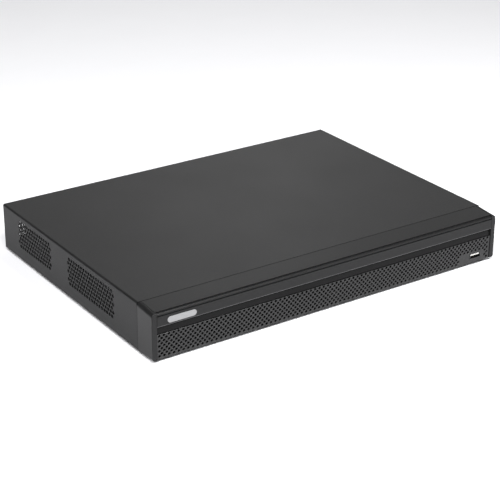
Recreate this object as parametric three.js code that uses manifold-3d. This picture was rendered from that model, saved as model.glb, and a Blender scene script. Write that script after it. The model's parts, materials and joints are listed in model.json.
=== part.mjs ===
// A one-rack-unit video recorder for security cameras, built piece by piece.
// Units are millimetres. +Z is up, +Y points to the rear, and the front faces -Y.
// The origin is the middle of the footprint, at the level of the surface the feet stand on.
import * as THREE from "three";
import { mergeVertices } from "three/addons/utils/BufferGeometryUtils.js";
import Module from "manifold-3d";

const wasm = await Module();
wasm.setup();

// ---------- Driving dimensions ----------
const WIDTH = 375;
const COVER_LENGTH = 250; // from the bezel seam to the rear edge of the cover
const BEZEL_DEPTH = 24;
const SIDE_HEIGHT = 44.2; // height of the steel case, without the feet
const FOOT_HEIGHT = 3.8; // the case stands this far off the surface
const REAR_PROUD = 8; // how far the longest rear connector passes the cover
const SHEET = 1; // thickness of the steel sheet
const GAP = 0.3; // clearance between pieces that seat on each other
const BEND = 1.8; // outer bend radius of the sheet

const LEAD_STEPS = 24; // steps along every lead

// ---------- Places that follow from them ----------
const FRONT_Y = -(BEZEL_DEPTH + COVER_LENGTH + REAR_PROUD) / 2;
const SEAM_Y = FRONT_Y + BEZEL_DEPTH;
const REAR_Y = SEAM_Y + COVER_LENGTH;
const CASE_Z = FOOT_HEIGHT;
const TOP_Z = CASE_Z + SIDE_HEIGHT;
const HALF = WIDTH / 2;
const FLOOR_Z = CASE_Z + SHEET; // upper face of the tray
const PANEL_OUT_Y = REAR_Y - SHEET - GAP; // outer face of the rear panel
const PANEL_IN_Y = PANEL_OUT_Y - SHEET;
const TRAY_HALF = HALF - SHEET - GAP; // outer half width of the tray
const INNER_HALF = TRAY_HALF - SHEET;

// ---------- Materials ----------
const finish = (color, roughness, metalness) =>
  new THREE.MeshStandardMaterial({ color, roughness, metalness });
const PAINT = finish(0x4b4b4c, 0.6, 0.2);
const BARE_STEEL = finish(0xb9bbbc, 0.4, 0.9);
const BEZEL_PLASTIC = finish(0x424243, 0.5, 0);
const WINDOW_PLASTIC = finish(0x222223, 0.15, 0);
const BADGE_INK = finish(0xe4e4e2, 0.4, 0);
const RUBBER = finish(0x1b1b1b, 0.9, 0);
const BOARD_GREEN = finish(0x1d5a37, 0.5, 0);
const BLACK_PLASTIC = finish(0x161616, 0.5, 0);
const NICKEL = finish(0xc8c9c6, 0.25, 1);
const VGA_BLUE = finish(0x1f3f8f, 0.5, 0);
const TERMINAL_GREEN = finish(0x2f8a4c, 0.5, 0);
const ALUMINIUM = finish(0x9da0a3, 0.4, 0.9);
const CLEAR_PIPE = finish(0xd9e4e8, 0.1, 0);
const CABLE_RED = finish(0x9c2a22, 0.5, 0);
const CABLE_GREY = finish(0x8b8b8b, 0.6, 0);
const CABLE_BLACK = finish(0x1c1c1c, 0.6, 0);
const WHITE_PLASTIC = finish(0xdedbd2, 0.5, 0);

// ---------- Solids: making, cutting and joining ----------
function solid(geometry) {
  const bare = geometry.index ? geometry.toNonIndexed() : geometry.clone();
  bare.deleteAttribute("normal");
  bare.deleteAttribute("uv");
  const merged = mergeVertices(bare, 1e-4);
  const vertProperties = new Float32Array(merged.attributes.position.array);
  const triVerts = new Uint32Array(merged.index.array);
  return new wasm.Manifold(new wasm.Mesh({ numProp: 3, vertProperties, triVerts }));
}

const join = (...pieces) => pieces.reduce((sum, piece) => sum.add(piece));
const cut = (body, ...tools) => tools.reduce((left, tool) => left.subtract(tool), body);

function slab(x0, x1, y0, y1, z0, z1) {
  const box = new THREE.BoxGeometry(x1 - x0, y1 - y0, z1 - z0);
  return solid(box.translate((x0 + x1) / 2, (y0 + y1) / 2, (z0 + z1) / 2));
}

// A box given by its middle in X and Z, its width and height, and its span in Y.
function block(x, z, width, height, y0, y1) {
  return slab(x - width / 2, x + width / 2, y0, y1, z - height / 2, z + height / 2);
}

// A round bar along Y, X or Z, from one end to the other.
function barY(x, z, radius, y0, y1, sides = 16) {
  const bar = new THREE.CylinderGeometry(radius, radius, y1 - y0, sides);
  return solid(bar.translate(x, (y0 + y1) / 2, z));
}

function barX(y, z, radius, x0, x1, sides = 16) {
  const bar = new THREE.CylinderGeometry(radius, radius, x1 - x0, sides);
  return solid(bar.rotateZ(Math.PI / 2).translate((x0 + x1) / 2, y, z));
}

function barZ(x, y, radius, z0, z1, sides = 16) {
  const bar = new THREE.CylinderGeometry(radius, radius, z1 - z0, sides);
  return solid(bar.rotateX(Math.PI / 2).translate(x, y, (z0 + z1) / 2));
}

// A turned piece about an axis along Y. The profile is [radius, y], from the axis to the axis.
function turned(x, z, profile, sides = 16) {
  const points = profile.map(([radius, y]) => new THREE.Vector2(radius, y));
  return solid(new THREE.LatheGeometry(points, sides).translate(x, 0, z));
}

// An outline in the XZ plane, carried along Y.
function alongY(outline, y0, y1) {
  const geometry = new THREE.ExtrudeGeometry(outline, {
    depth: y1 - y0,
    bevelEnabled: false,
    curveSegments: 5,
  });
  return solid(geometry.rotateX(Math.PI / 2).translate(0, y1, 0));
}

// An outline in the YZ plane, carried along X.
function alongX(outline, x0, x1) {
  const geometry = new THREE.ExtrudeGeometry(outline, {
    depth: x1 - x0,
    bevelEnabled: false,
    curveSegments: 5,
  });
  const toYZ = new THREE.Matrix4().set(0, 0, 1, x0, 1, 0, 0, 0, 0, 1, 0, 0, 0, 0, 0, 1);
  return solid(geometry.applyMatrix4(toYZ));
}

// An outline in the XY plane, carried up Z.
function alongZ(outline, z0, z1) {
  const geometry = new THREE.ExtrudeGeometry(outline, {
    depth: z1 - z0,
    bevelEnabled: false,
    curveSegments: 5,
  });
  return solid(geometry.translate(0, 0, z0));
}

const outlineOf = (points) => new THREE.Shape(points.map(([a, b]) => new THREE.Vector2(a, b)));

// A rectangle with round corners; the radii are for the low and the high end of the second axis.
function roundedOutline(a0, a1, b0, b1, lowRadius, highRadius) {
  const shape = new THREE.Shape();
  shape.moveTo(a0 + lowRadius, b0);
  shape.lineTo(a1 - lowRadius, b0);
  if (lowRadius > 0) shape.absarc(a1 - lowRadius, b0 + lowRadius, lowRadius, -Math.PI / 2, 0);
  shape.lineTo(a1, b1 - highRadius);
  if (highRadius > 0) shape.absarc(a1 - highRadius, b1 - highRadius, highRadius, 0, Math.PI / 2);
  shape.lineTo(a0 + highRadius, b1);
  if (highRadius > 0) shape.absarc(a0 + highRadius, b1 - highRadius, highRadius, Math.PI / 2, Math.PI);
  shape.lineTo(a0, b0 + lowRadius);
  if (lowRadius > 0) shape.absarc(a0 + lowRadius, b0 + lowRadius, lowRadius, Math.PI, 1.5 * Math.PI);
  return shape;
}

// A lead seen from its edge: a smooth line through the points of its route, thickened to both sides.
function leadOutline(points, thickness) {
  const route = new THREE.CatmullRomCurve3(
    points.map(([a, b]) => new THREE.Vector3(a, b, 0)),
    false,
    "centripetal",
  );
  const near = [];
  const far = [];
  for (let step = 0; step <= LEAD_STEPS; step++) {
    const at = route.getPointAt(step / LEAD_STEPS);
    const tangent = route.getTangentAt(step / LEAD_STEPS);
    const side = new THREE.Vector3(-tangent.y, tangent.x, 0).multiplyScalar(thickness / 2);
    near.push(at.clone().add(side));
    far.unshift(at.clone().sub(side));
  }
  return new THREE.Shape([...near, ...far].map((at) => new THREE.Vector2(at.x, at.y)));
}

const group = new THREE.Group();

function node(name, body, material, parent = group) {
  const made = body.getMesh();
  const geometry = new THREE.BufferGeometry();
  geometry.setAttribute("position", new THREE.BufferAttribute(made.vertProperties, 3));
  geometry.setIndex(new THREE.BufferAttribute(made.triVerts, 1));
  geometry.computeVertexNormals();
  const mesh = new THREE.Mesh(geometry, material);
  mesh.name = name;
  parent.add(mesh);
  return mesh;
}

// ---------- Rear connectors: what stands in the row and how wide each one is ----------
const BNC_COLUMNS = 4;
const BNC_PITCH = 16; // between columns
const BNC_ROW_PITCH = 16.5; // between the two rows
const BNC_BARREL_R = 4.85;
const BNC_COLLAR_R = 6;
const AUDIO_WIDTH = 11;
const AUDIO_BARREL_R = 4.15;
const VGA_WIDTH = 31;
const VGA_HEIGHT = 12.5;
const HDMI_WIDTH = 15;
const HDMI_HEIGHT = 6;
const USB_WIDTH = 13.1;
const USB_HEIGHT = 5.6;
const LAN_WIDTH = 16;
const LAN_HEIGHT = 13.5;
const TERMINAL_POLES = 8;
const TERMINAL_PITCH = 3.5;
const TERMINAL_WIDTH = TERMINAL_POLES * TERMINAL_PITCH + 2;
const TERMINAL_HEIGHT = 9;
const DC_WIDTH = 9.5;
const DC_HEIGHT = 11;
const SWITCH_WIDTH = 9;
const SWITCH_HEIGHT = 14;
const SWITCH_RIM = 1.3; // how far the switch's flange passes its cut-out
const GROUND_HEAD_R = 3.6;
const REAR_VENT_WIDTH = 34; // slotted stretch of the rear panel beside the connectors
const ROW_MARGIN = 9; // from the connector row to the side walls

// The connectors share what is left of the panel as equal spaces between them.
const ROW = [
  ["vent", REAR_VENT_WIDTH],
  ["bnc", BNC_COLUMNS * BNC_PITCH],
  ["audio", AUDIO_WIDTH],
  ["vga", VGA_WIDTH],
  ["hdmi", HDMI_WIDTH],
  ["usb", USB_WIDTH],
  ["lan", LAN_WIDTH],
  ["terminal", TERMINAL_WIDTH],
  ["dc", DC_WIDTH],
  ["switch", SWITCH_WIDTH + 2 * SWITCH_RIM],
  ["ground", 2 * GROUND_HEAD_R],
];
const rowUsed = ROW.reduce((sum, [, width]) => sum + width, 0);
const rowSpace = (2 * (INNER_HALF - ROW_MARGIN) - rowUsed) / (ROW.length - 1);
const rowX = {};
let rowEdge = -(INNER_HALF - ROW_MARGIN);
for (const [name, width] of ROW) {
  rowX[name] = rowEdge + width / 2;
  rowEdge += width + rowSpace;
}

// ---------- Main board: the level and the area that the connectors stand on ----------
const STANDOFF_HEIGHT = 6;
const STANDOFF_R = 3;
const BOARD_THICKNESS = 1.6;
const BOARD_DEPTH = 75;
const BOARD_Z = FLOOR_Z + STANDOFF_HEIGHT + GAP;
const BOARD_TOP = BOARD_Z + BOARD_THICKNESS;
const BOARD_Y1 = PANEL_IN_Y - GAP;
const BOARD_Y0 = BOARD_Y1 - BOARD_DEPTH;
const BOARD_X0 = rowX.bnc - (BNC_COLUMNS * BNC_PITCH) / 2 - 3;
const BOARD_X1 = rowX.dc + DC_WIDTH / 2 + 3;
const SEAT_Z = BOARD_TOP + GAP; // underside of everything that stands on the board
const STANDOFF_INSET = 6;
const BOARD_SCREW_R = 1.2;
const standoffs = [];
for (const x of [BOARD_X0 + STANDOFF_INSET, (BOARD_X0 + BOARD_X1) / 2, BOARD_X1 - STANDOFF_INSET]) {
  standoffs.push([x, BOARD_Y0 + STANDOFF_INSET], [x, BOARD_Y1 - 24]);
}

// ---------- Hard drive: a 3.5 inch drive, screwed to raised dimples in the tray ----------
const DRIVE_WIDTH = 101.6;
const DRIVE_LENGTH = 147;
const DRIVE_HEIGHT = 26.1;
const DRIVE_LID = 5.5; // thickness of the lid
const DRIVE_FROM_LEFT = 18;
const DRIVE_FROM_FRONT = 9;
const DIMPLE_HEIGHT = 2.5;
const DIMPLE_R = 7;
const DRIVE_SCREW_R = 1.5;
const DRIVE_HOLE_X = 95.25 / 2; // the drive's own screw pattern
const DRIVE_HOLES_Y = [41.3, 117.5]; // from the end with the connector
const DRIVE_X = -TRAY_HALF + SHEET + DRIVE_FROM_LEFT + DRIVE_WIDTH / 2;
const DRIVE_Y0 = SEAM_Y + SHEET + DRIVE_FROM_FRONT;
const DRIVE_Y1 = DRIVE_Y0 + DRIVE_LENGTH;
const DRIVE_Z = FLOOR_Z + DIMPLE_HEIGHT + GAP;
const driveHoles = [];
for (const y of DRIVE_HOLES_Y) {
  driveHoles.push([DRIVE_X - DRIVE_HOLE_X, DRIVE_Y1 - y], [DRIVE_X + DRIVE_HOLE_X, DRIVE_Y1 - y]);
}
const BAY_PITCH = DRIVE_WIDTH + 16; // the second, empty bay has the same dimples
const emptyBayHoles = driveHoles.map(([x, y]) => [x + BAY_PITCH, y]);

// ---------- Fan: 40 mm, behind the rear vent of the left side ----------
const FAN_SIZE = 40;
const FAN_DEPTH = 10;
const FAN_RIM = 1; // thinnest place of the frame around the blades
const FAN_BORE_R = FAN_SIZE / 2 - FAN_RIM;
const FAN_HUB_R = 9.5;
const FAN_BLADES = 7;
const FAN_SHAFT_R = 1;
const FAN_FROM_REAR = 67;
const FAN_Y = REAR_Y - FAN_FROM_REAR;
const FAN_Z = FLOOR_Z + GAP + FAN_SIZE / 2;
const FAN_X0 = -INNER_HALF + GAP;
const FAN_X1 = FAN_X0 + FAN_DEPTH;

// ---------- Vents in the cover's sides: each row of small holes is one slot that is as open ----------
const VENT_ROWS = 7;
const VENT_ROW_PITCH = 3.98;
const VENT_HOLE = 3;
const VENT_PITCH = 4.45; // between the holes of a row; every second row is one hole longer
const VENT_SLOT = (Math.PI * VENT_HOLE ** 2) / (4 * VENT_PITCH); // height that a row's open area gives
const VENT_TOP = 7.1; // from the cover's top to the first row's middle
const VENTS = [
  { from: COVER_LENGTH - 92.3, holes: 14 }, // from the seam to a shorter row's first hole
  { from: 42.7, holes: 18 },
];

// ---------- Cover ----------
const TAB_WIDTH = 13;
const TAB_HEIGHT = 8.5;
const COVER_SCREW_R = 1.5;
const SCREW_HEAD_R = 3.3;
const SCREW_HEAD = 2;
const tabs = [rowX.vent, rowX.usb, rowX.switch];
const TAB_SCREW_Z = TOP_Z - 4.8;

function coverOutline() {
  const inner = BEND - SHEET;
  const shape = roundedOutline(-HALF, HALF, CASE_Z, TOP_Z, 0, BEND);
  const room = roundedOutline(-HALF + SHEET, HALF - SHEET, CASE_Z - SHEET, TOP_Z - SHEET, 0, inner);
  return [shape, room];
}

function ventSlots() {
  const slots = [];
  for (const { from, holes } of VENTS) {
    for (let row = 0; row < VENT_ROWS; row++) {
      const reach = VENT_HOLE / 2 + (row % 2 ? VENT_PITCH / 2 : 0);
      const z0 = TOP_Z - VENT_TOP - row * VENT_ROW_PITCH - VENT_SLOT / 2;
      const z1 = z0 + VENT_SLOT;
      const y0 = SEAM_Y + from - reach;
      const y1 = SEAM_Y + from + (holes - 1) * VENT_PITCH + reach;
      slots.push(slab(-HALF - 1, -HALF + 2 * SHEET, y0, y1, z0, z1));
      slots.push(slab(HALF - 2 * SHEET, HALF + 1, y0, y1, z0, z1));
    }
  }
  return slots;
}

function topCover() {
  const [shape, room] = coverOutline();
  const shell = cut(alongY(shape, SEAM_Y, REAR_Y), alongY(room, SEAM_Y - 1, REAR_Y + 1));
  const ears = tabs.map((x) => slab(x - TAB_WIDTH / 2, x + TAB_WIDTH / 2, REAR_Y - SHEET, REAR_Y,
    TOP_Z - TAB_HEIGHT, TOP_Z - SHEET / 2));
  const holes = tabs.map((x) => barY(x, TAB_SCREW_Z, COVER_SCREW_R + GAP, REAR_Y - 2 * SHEET, REAR_Y + 1));
  return cut(join(shell, ...ears), ...ventSlots(), ...holes);
}

function coverScrew(x) {
  const head = barY(x, TAB_SCREW_Z, SCREW_HEAD_R, REAR_Y + GAP, REAR_Y + GAP + SCREW_HEAD, 16);
  const slotY = REAR_Y + GAP + SCREW_HEAD / 2;
  const slot = slab(x - 2, x + 2, slotY, slotY + 8, TAB_SCREW_Z - 0.4, TAB_SCREW_Z + 0.4);
  const shank = barY(x, TAB_SCREW_Z, COVER_SCREW_R, PANEL_IN_Y - 4, REAR_Y + GAP + 0.5, 10);
  return cut(join(head, shank), slot);
}

// ---------- Tray: floor, front wall, side flanges, standoffs and drive dimples ----------
const FLANGE_HEIGHT = 8;
const FRONT_WALL_HEIGHT = 38;
const RIBBON_WINDOW_HEIGHT = 14;
const FAN_BRACKET = FAN_SIZE + 4; // the left flange is this long and high where the fan is
const FAN_HOLE_PITCH = FAN_SIZE - 8;
const FAN_SCREW_R = 1.5;
const fanHoles = [-1, 1].map((side) => [
  FAN_Y + (side * FAN_HOLE_PITCH) / 2,
  FAN_Z + (side * FAN_HOLE_PITCH) / 2,
]);

// A drive stands on four raised dimples, and its screws sit in the hollows under them.
function dimple([x, y]) {
  const top = FLOOR_Z + DIMPLE_HEIGHT;
  return {
    pad: barZ(x, y, DIMPLE_R, CASE_Z, top, 12),
    hollow: barZ(x, y, DIMPLE_R - SHEET, CASE_Z - 1, top - SHEET, 12),
    hole: barZ(x, y, DRIVE_SCREW_R + GAP, CASE_Z, top + 1, 8),
  };
}

function baseTray() {
  const y0 = SEAM_Y;
  const y1 = PANEL_IN_Y - GAP;
  const top = FLOOR_Z + FRONT_WALL_HEIGHT;
  const floor = slab(-TRAY_HALF, TRAY_HALF, y0, y1, CASE_Z, FLOOR_Z);
  const front = slab(-TRAY_HALF, TRAY_HALF, y0, y0 + SHEET, CASE_Z, top);
  const left = slab(-TRAY_HALF, -INNER_HALF, y0, y1, CASE_Z, FLOOR_Z + FLANGE_HEIGHT);
  const right = slab(INNER_HALF, TRAY_HALF, y0, y1, CASE_Z, FLOOR_Z + FLANGE_HEIGHT);
  const bracket = slab(-TRAY_HALF, -INNER_HALF, FAN_Y - FAN_BRACKET / 2, FAN_Y + FAN_BRACKET / 2,
    CASE_Z, FAN_Z + FAN_SIZE / 2);
  const posts = standoffs.map(([x, y]) => barZ(x, y, STANDOFF_R, CASE_Z, FLOOR_Z + STANDOFF_HEIGHT, 8));
  const studs = frontPosts.map(([x, z]) => barY(x, z, STANDOFF_R, FRONT_BOARD_BACK + GAP, y0 + SHEET, 8));
  const bays = [...driveHoles, ...emptyBayHoles].map(dimple);
  const body = join(floor, front, left, right, bracket, ...posts, ...studs, ...bays.map((bay) => bay.pad));
  const window = block(RIBBON_X, RIBBON_Z, RIBBON_WIDTH + 8, RIBBON_WINDOW_HEIGHT, y0 - 1, y0 + 2 * SHEET);
  const inlet = barX(FAN_Y, FAN_Z, FAN_BORE_R - 0.5, -HALF, -INNER_HALF + 1, 24);
  const fanScrewHoles = fanHoles.map(([y, z]) =>
    barX(y, z, FAN_SCREW_R + GAP, -HALF, -INNER_HALF + 1, 10));
  const screwHoles = standoffs.map(([x, y]) =>
    barZ(x, y, BOARD_SCREW_R + GAP, FLOOR_Z + 1, FLOOR_Z + STANDOFF_HEIGHT + 1, 8));
  return cut(body, window, inlet, ...fanScrewHoles, ...screwHoles,
    ...bays.map((bay) => bay.hollow), ...bays.map((bay) => bay.hole));
}

function driveScrew([x, y]) {
  const seat = FLOOR_Z + DIMPLE_HEIGHT - SHEET;
  const head = barZ(x, y, SCREW_HEAD_R, seat - GAP - SCREW_HEAD, seat - GAP, 14);
  const shank = barZ(x, y, DRIVE_SCREW_R, seat - GAP - 0.5, DRIVE_Z + 4, 10);
  const slot = slab(x - 2, x + 2, y - 0.4, y + 0.4, CASE_Z - 2, seat - GAP - SCREW_HEAD / 2);
  return cut(join(head, shank), slot);
}

const FOOT_R = 9;
const FOOT_INSET_X = 27;
const FOOT_INSET_Y = 22;
const feet = [];
for (const x of [-HALF + FOOT_INSET_X, HALF - FOOT_INSET_X]) {
  feet.push([x, SEAM_Y + FOOT_INSET_Y], [x, REAR_Y - FOOT_INSET_Y]);
}

function foot([x, y]) {
  const height = CASE_Z - GAP;
  const profile = [[0, 0], [FOOT_R - 1, 0], [FOOT_R, 1], [FOOT_R, height], [0, height]];
  const points = profile.map(([r, h]) => new THREE.Vector2(r, h));
  return solid(new THREE.LatheGeometry(points, 20).rotateX(Math.PI / 2).translate(x, y, 0));
}

// ---------- Bezel: a hollow plastic frame whose top slopes down and whose bottom slopes up ----------
const BEZEL_WALL = 2.2;
const BEZEL_TOP_DROP = 2; // how far the top falls from the seam to the front
const BEZEL_CORNER = 1; // upright corners
const BEZEL_SHOULDER = 2.5; // round edges along both sides of the top
const BEZEL_CROWN = 2; // round front top edge
const BEZEL_LIP_REAR = 2.5; // how far the bottom hangs under the case at the seam
const BEZEL_LIP_FRONT = 0.5;
const POST_WIDTH = 4.9; // front face of each end, beside the fascia
const BEZEL_TOP_REAR = TOP_Z - 0.2;
const BEZEL_TOP_FRONT = TOP_Z - BEZEL_TOP_DROP;
const BEZEL_BOTTOM_REAR = CASE_Z - BEZEL_LIP_REAR;
const BEZEL_BOTTOM_FRONT = CASE_Z - BEZEL_LIP_FRONT;
const MOUTH_DEPTH = 3; // the front opening that the fascia fills
const TOP_GROOVE = 1; // open line between the bezel's top and the fascia

// ---------- Fascia: strip, smoked window and grille, one above the other ----------
const FASCIA_THICKNESS = MOUTH_DEPTH - TOP_GROOVE;
const BEAD_R = 1.5;
const BEAD_SET_BACK = 0.4;
const BEAD_GROOVE = 0.8;
const STRIP_TOP = BEZEL_TOP_FRONT - 0.6;
const STRIP_BOTTOM = CASE_Z + 29;
const WINDOW_SET_BACK = 1.6;
const WINDOW_THICKNESS = 1.5;
const WINDOW_BOTTOM = CASE_Z + 22.4;
const GRILLE_SET_BACK = MOUTH_DEPTH - FASCIA_THICKNESS - GAP;
const GRILLE_TOP = WINDOW_BOTTOM - GAP;
const FASCIA_HALF = HALF - POST_WIDTH - GAP;

function bezelOutline(inset, seamY, frontY) {
  const crown = BEZEL_CROWN - inset / 2;
  const shape = new THREE.Shape();
  shape.moveTo(seamY, BEZEL_BOTTOM_REAR + inset);
  shape.lineTo(seamY, BEZEL_TOP_REAR - inset);
  shape.lineTo(frontY + crown, BEZEL_TOP_FRONT - inset);
  shape.absarc(frontY + crown, BEZEL_TOP_FRONT - inset - crown, crown, Math.PI / 2, Math.PI);
  shape.lineTo(frontY, BEZEL_BOTTOM_FRONT + inset);
  return shape;
}

function bezelFrame() {
  const rear = SEAM_Y - GAP;
  const plan = roundedOutline(-HALF, HALF, FRONT_Y, rear, BEZEL_CORNER, 0);
  const face = roundedOutline(-HALF, HALF, 0, BEZEL_TOP_REAR, 0, BEZEL_SHOULDER);
  const bar = alongX(bezelOutline(0, rear, FRONT_Y), -HALF, HALF);
  const outer = bar.intersect(alongZ(plan, 0, TOP_Z)).intersect(alongY(face, FRONT_Y, rear));
  const inner = bezelOutline(BEZEL_WALL, SEAM_Y, FRONT_Y + BEZEL_WALL);
  const room = alongX(inner, -HALF + BEZEL_WALL, HALF - BEZEL_WALL);
  const half = FASCIA_HALF + GAP;
  return cut(outer, room, slab(-half, half, FRONT_Y - 1, FRONT_Y + MOUTH_DEPTH, 0, TOP_Z));
}

// The strip has a round bead along its top edge and a fine groove under the bead.
function fasciaStrip() {
  const back = FRONT_Y + FASCIA_THICKNESS;
  const beadY = FRONT_Y + BEAD_SET_BACK;
  const beadBottom = STRIP_TOP - 2 * BEAD_R;
  const shape = new THREE.Shape();
  shape.moveTo(back, STRIP_BOTTOM);
  shape.lineTo(back, STRIP_TOP);
  shape.absarc(beadY + BEAD_R, STRIP_TOP - BEAD_R, BEAD_R, Math.PI / 2, (7 / 6) * Math.PI);
  shape.lineTo(beadY + BEAD_GROOVE, beadBottom + BEAD_R / 3);
  shape.lineTo(FRONT_Y, beadBottom);
  shape.lineTo(FRONT_Y, STRIP_BOTTOM);
  return alongX(shape, -FASCIA_HALF, FASCIA_HALF);
}

function indicatorWindow() {
  const y = FRONT_Y + WINDOW_SET_BACK;
  return slab(-FASCIA_HALF, FASCIA_HALF, y, y + WINDOW_THICKNESS, WINDOW_BOTTOM, STRIP_BOTTOM - GAP);
}

// ---------- Front sockets and board ----------
const FRONT_USB_FROM_END = 22.5; // from the end of the case to the socket's middle
const FRONT_USB_HEIGHT = 6; // from the bottom of the case to the socket's middle
const FRONT_USB_DEPTH = 14;
const FRONT_USB_X = HALF - FRONT_USB_FROM_END;
const FRONT_USB_Z = CASE_Z + FRONT_USB_HEIGHT;
const FRONT_USB_Y = FRONT_Y + GRILLE_SET_BACK - 0.3;
const FRONT_BOARD_WIDTH = 72;
const FRONT_BOARD_HEIGHT = 30;
const FRONT_BOARD_Y = FRONT_USB_Y + FRONT_USB_DEPTH + GAP;
const FRONT_BOARD_BACK = FRONT_BOARD_Y + BOARD_THICKNESS;
const FRONT_BOARD_X1 = FRONT_USB_X + USB_WIDTH / 2 + 4;
const FRONT_BOARD_X0 = FRONT_BOARD_X1 - FRONT_BOARD_WIDTH;
const FRONT_BOARD_Z = FRONT_USB_Z - USB_HEIGHT / 2 - 0.5;
const RIBBON_WIDTH = 16;
const RIBBON_X = FRONT_BOARD_X0 + RIBBON_WIDTH / 2 + 12;
const RIBBON_Z = FRONT_BOARD_Z + FRONT_BOARD_HEIGHT / 2;
const LIGHTS = 3;
const LIGHT_PITCH = 9;
const LIGHT_R = 1.5;
const LIGHT_Z = (WINDOW_BOTTOM + STRIP_BOTTOM) / 2;
const LIGHT_X = FRONT_USB_X - 24; // the middle light
const frontPosts = [
  [FRONT_BOARD_X0 + 5, FRONT_BOARD_Z + 5],
  [FRONT_BOARD_X1 - 5, FRONT_BOARD_Z + FRONT_BOARD_HEIGHT - 5],
];

function frontGrille() {
  const y = FRONT_Y + GRILLE_SET_BACK;
  const plate = slab(-FASCIA_HALF, FASCIA_HALF, y, y + FASCIA_THICKNESS, BEZEL_BOTTOM_FRONT, GRILLE_TOP);
  const opening = block(FRONT_USB_X, FRONT_USB_Z, USB_WIDTH + 2 * GAP, USB_HEIGHT + 2 * GAP,
    y - 1, y + FASCIA_THICKNESS + 1);
  return cut(plate, opening);
}

// A socket of folded metal with a tongue inside, open towards the given side of its mouth.
function socket(x, z, width, height, mouthY, depth, wall, tongueDrop) {
  const inward = -Math.sign(depth);
  const end = mouthY + depth;
  const floor = end + inward * 2;
  const span = (a, b) => [Math.min(a, b), Math.max(a, b)];
  const shell = block(x, z, width, height, ...span(mouthY, end));
  const room = block(x, z, width - 2 * wall, height - 2 * wall, ...span(mouthY + inward, floor));
  const tongue = block(x, z - tongueDrop, width - 4 * wall, 1.6, ...span(mouthY - inward, end + inward));
  return join(cut(shell, room), tongue);
}

function frontBoard() {
  const z1 = FRONT_BOARD_Z + FRONT_BOARD_HEIGHT;
  return slab(FRONT_BOARD_X0, FRONT_BOARD_X1, FRONT_BOARD_Y, FRONT_BOARD_BACK, FRONT_BOARD_Z, z1);
}

// Three clear fingers on one bar carry the lights from the board to the smoked window.
function lightPipe() {
  const back = FRONT_BOARD_Y - GAP;
  const tip = FRONT_Y + WINDOW_SET_BACK + WINDOW_THICKNESS + GAP;
  const reach = ((LIGHTS - 1) / 2) * LIGHT_PITCH;
  const bar = slab(LIGHT_X - reach - 3, LIGHT_X + reach + 3, back - 3, back, LIGHT_Z - 2, LIGHT_Z + 2);
  const fingers = [];
  for (let light = 0; light < LIGHTS; light++) {
    fingers.push(barY(LIGHT_X - reach + light * LIGHT_PITCH, LIGHT_Z, LIGHT_R, tip, back - 1, 10));
  }
  return join(bar, ...fingers);
}

const BADGE_WIDTH = 28;
const BADGE_HEIGHT = 5.6;
const BADGE_THICKNESS = 0.6;
const BADGE_FROM_END = 29; // from the end of the case to the badge's middle

function badgePlate() {
  const x = -HALF + BADGE_FROM_END;
  const z = (STRIP_BOTTOM + STRIP_TOP - 2 * BEAD_R) / 2;
  const r = BADGE_HEIGHT / 2 - 0.01;
  const outline = roundedOutline(x - BADGE_WIDTH / 2, x + BADGE_WIDTH / 2, z - BADGE_HEIGHT / 2,
    z + BADGE_HEIGHT / 2, r, r);
  return alongY(outline, FRONT_Y - BADGE_THICKNESS, FRONT_Y);
}

// ---------- Hard drive ----------
function driveBody() {
  const x0 = DRIVE_X - DRIVE_WIDTH / 2;
  const x1 = DRIVE_X + DRIVE_WIDTH / 2;
  const casting = slab(x0, x1, DRIVE_Y0, DRIVE_Y1, DRIVE_Z, DRIVE_Z + DRIVE_HEIGHT - DRIVE_LID - GAP);
  const mouth = slab(x1 - 62, x1 - 8, DRIVE_Y1 - 6, DRIVE_Y1 + 1, DRIVE_Z - 1, DRIVE_Z + 7);
  const sockets = slab(x1 - 60, x1 - 10, DRIVE_Y1 - 7, DRIVE_Y1 - 1, DRIVE_Z + 3.4, DRIVE_Z + 5);
  const holes = driveHoles.map(([x, y]) => barZ(x, y, DRIVE_SCREW_R + GAP, DRIVE_Z - 1, DRIVE_Z + 5, 10));
  return cut(join(cut(casting, mouth), sockets), ...holes);
}

function driveLid() {
  const outline = roundedOutline(DRIVE_X - DRIVE_WIDTH / 2 + 1, DRIVE_X + DRIVE_WIDTH / 2 - 1,
    DRIVE_Y0 + 1, DRIVE_Y1 - 1, 5, 5);
  return alongZ(outline, DRIVE_Z + DRIVE_HEIGHT - DRIVE_LID, DRIVE_Z + DRIVE_HEIGHT);
}

// ---------- Fan ----------
function fanFrame() {
  const x0 = FAN_X0;
  const outline = roundedOutline(FAN_Y - FAN_SIZE / 2, FAN_Y + FAN_SIZE / 2, FAN_Z - FAN_SIZE / 2,
    FAN_Z + FAN_SIZE / 2, 3, 3);
  const housing = alongX(outline, x0, FAN_X1);
  const bore = barX(FAN_Y, FAN_Z, FAN_BORE_R, x0 - 1, FAN_X1 + 1, 28);
  const holes = fanHoles.map(([y, z]) => barX(y, z, FAN_SCREW_R + GAP, x0 - 1, FAN_X1 - 2, 10));
  const spokes = slab(FAN_X1 - 1.5, FAN_X1, FAN_Y - FAN_BORE_R - 0.5, FAN_Y + FAN_BORE_R + 0.5,
    FAN_Z - 1.5, FAN_Z + 1.5);
  const spoke = slab(FAN_X1 - 1.5, FAN_X1, FAN_Y - 1.5, FAN_Y + 1.5, FAN_Z - FAN_BORE_R - 0.5,
    FAN_Z + FAN_BORE_R + 0.5);
  const motor = barX(FAN_Y, FAN_Z, FAN_HUB_R, FAN_X1 - 1.5, FAN_X1, 20);
  const shaft = barX(FAN_Y, FAN_Z, FAN_SHAFT_R, FAN_X1 - 7, FAN_X1 - 1, 12);
  return cut(join(cut(housing, bore), spokes, spoke, motor, shaft), ...holes);
}

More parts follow.
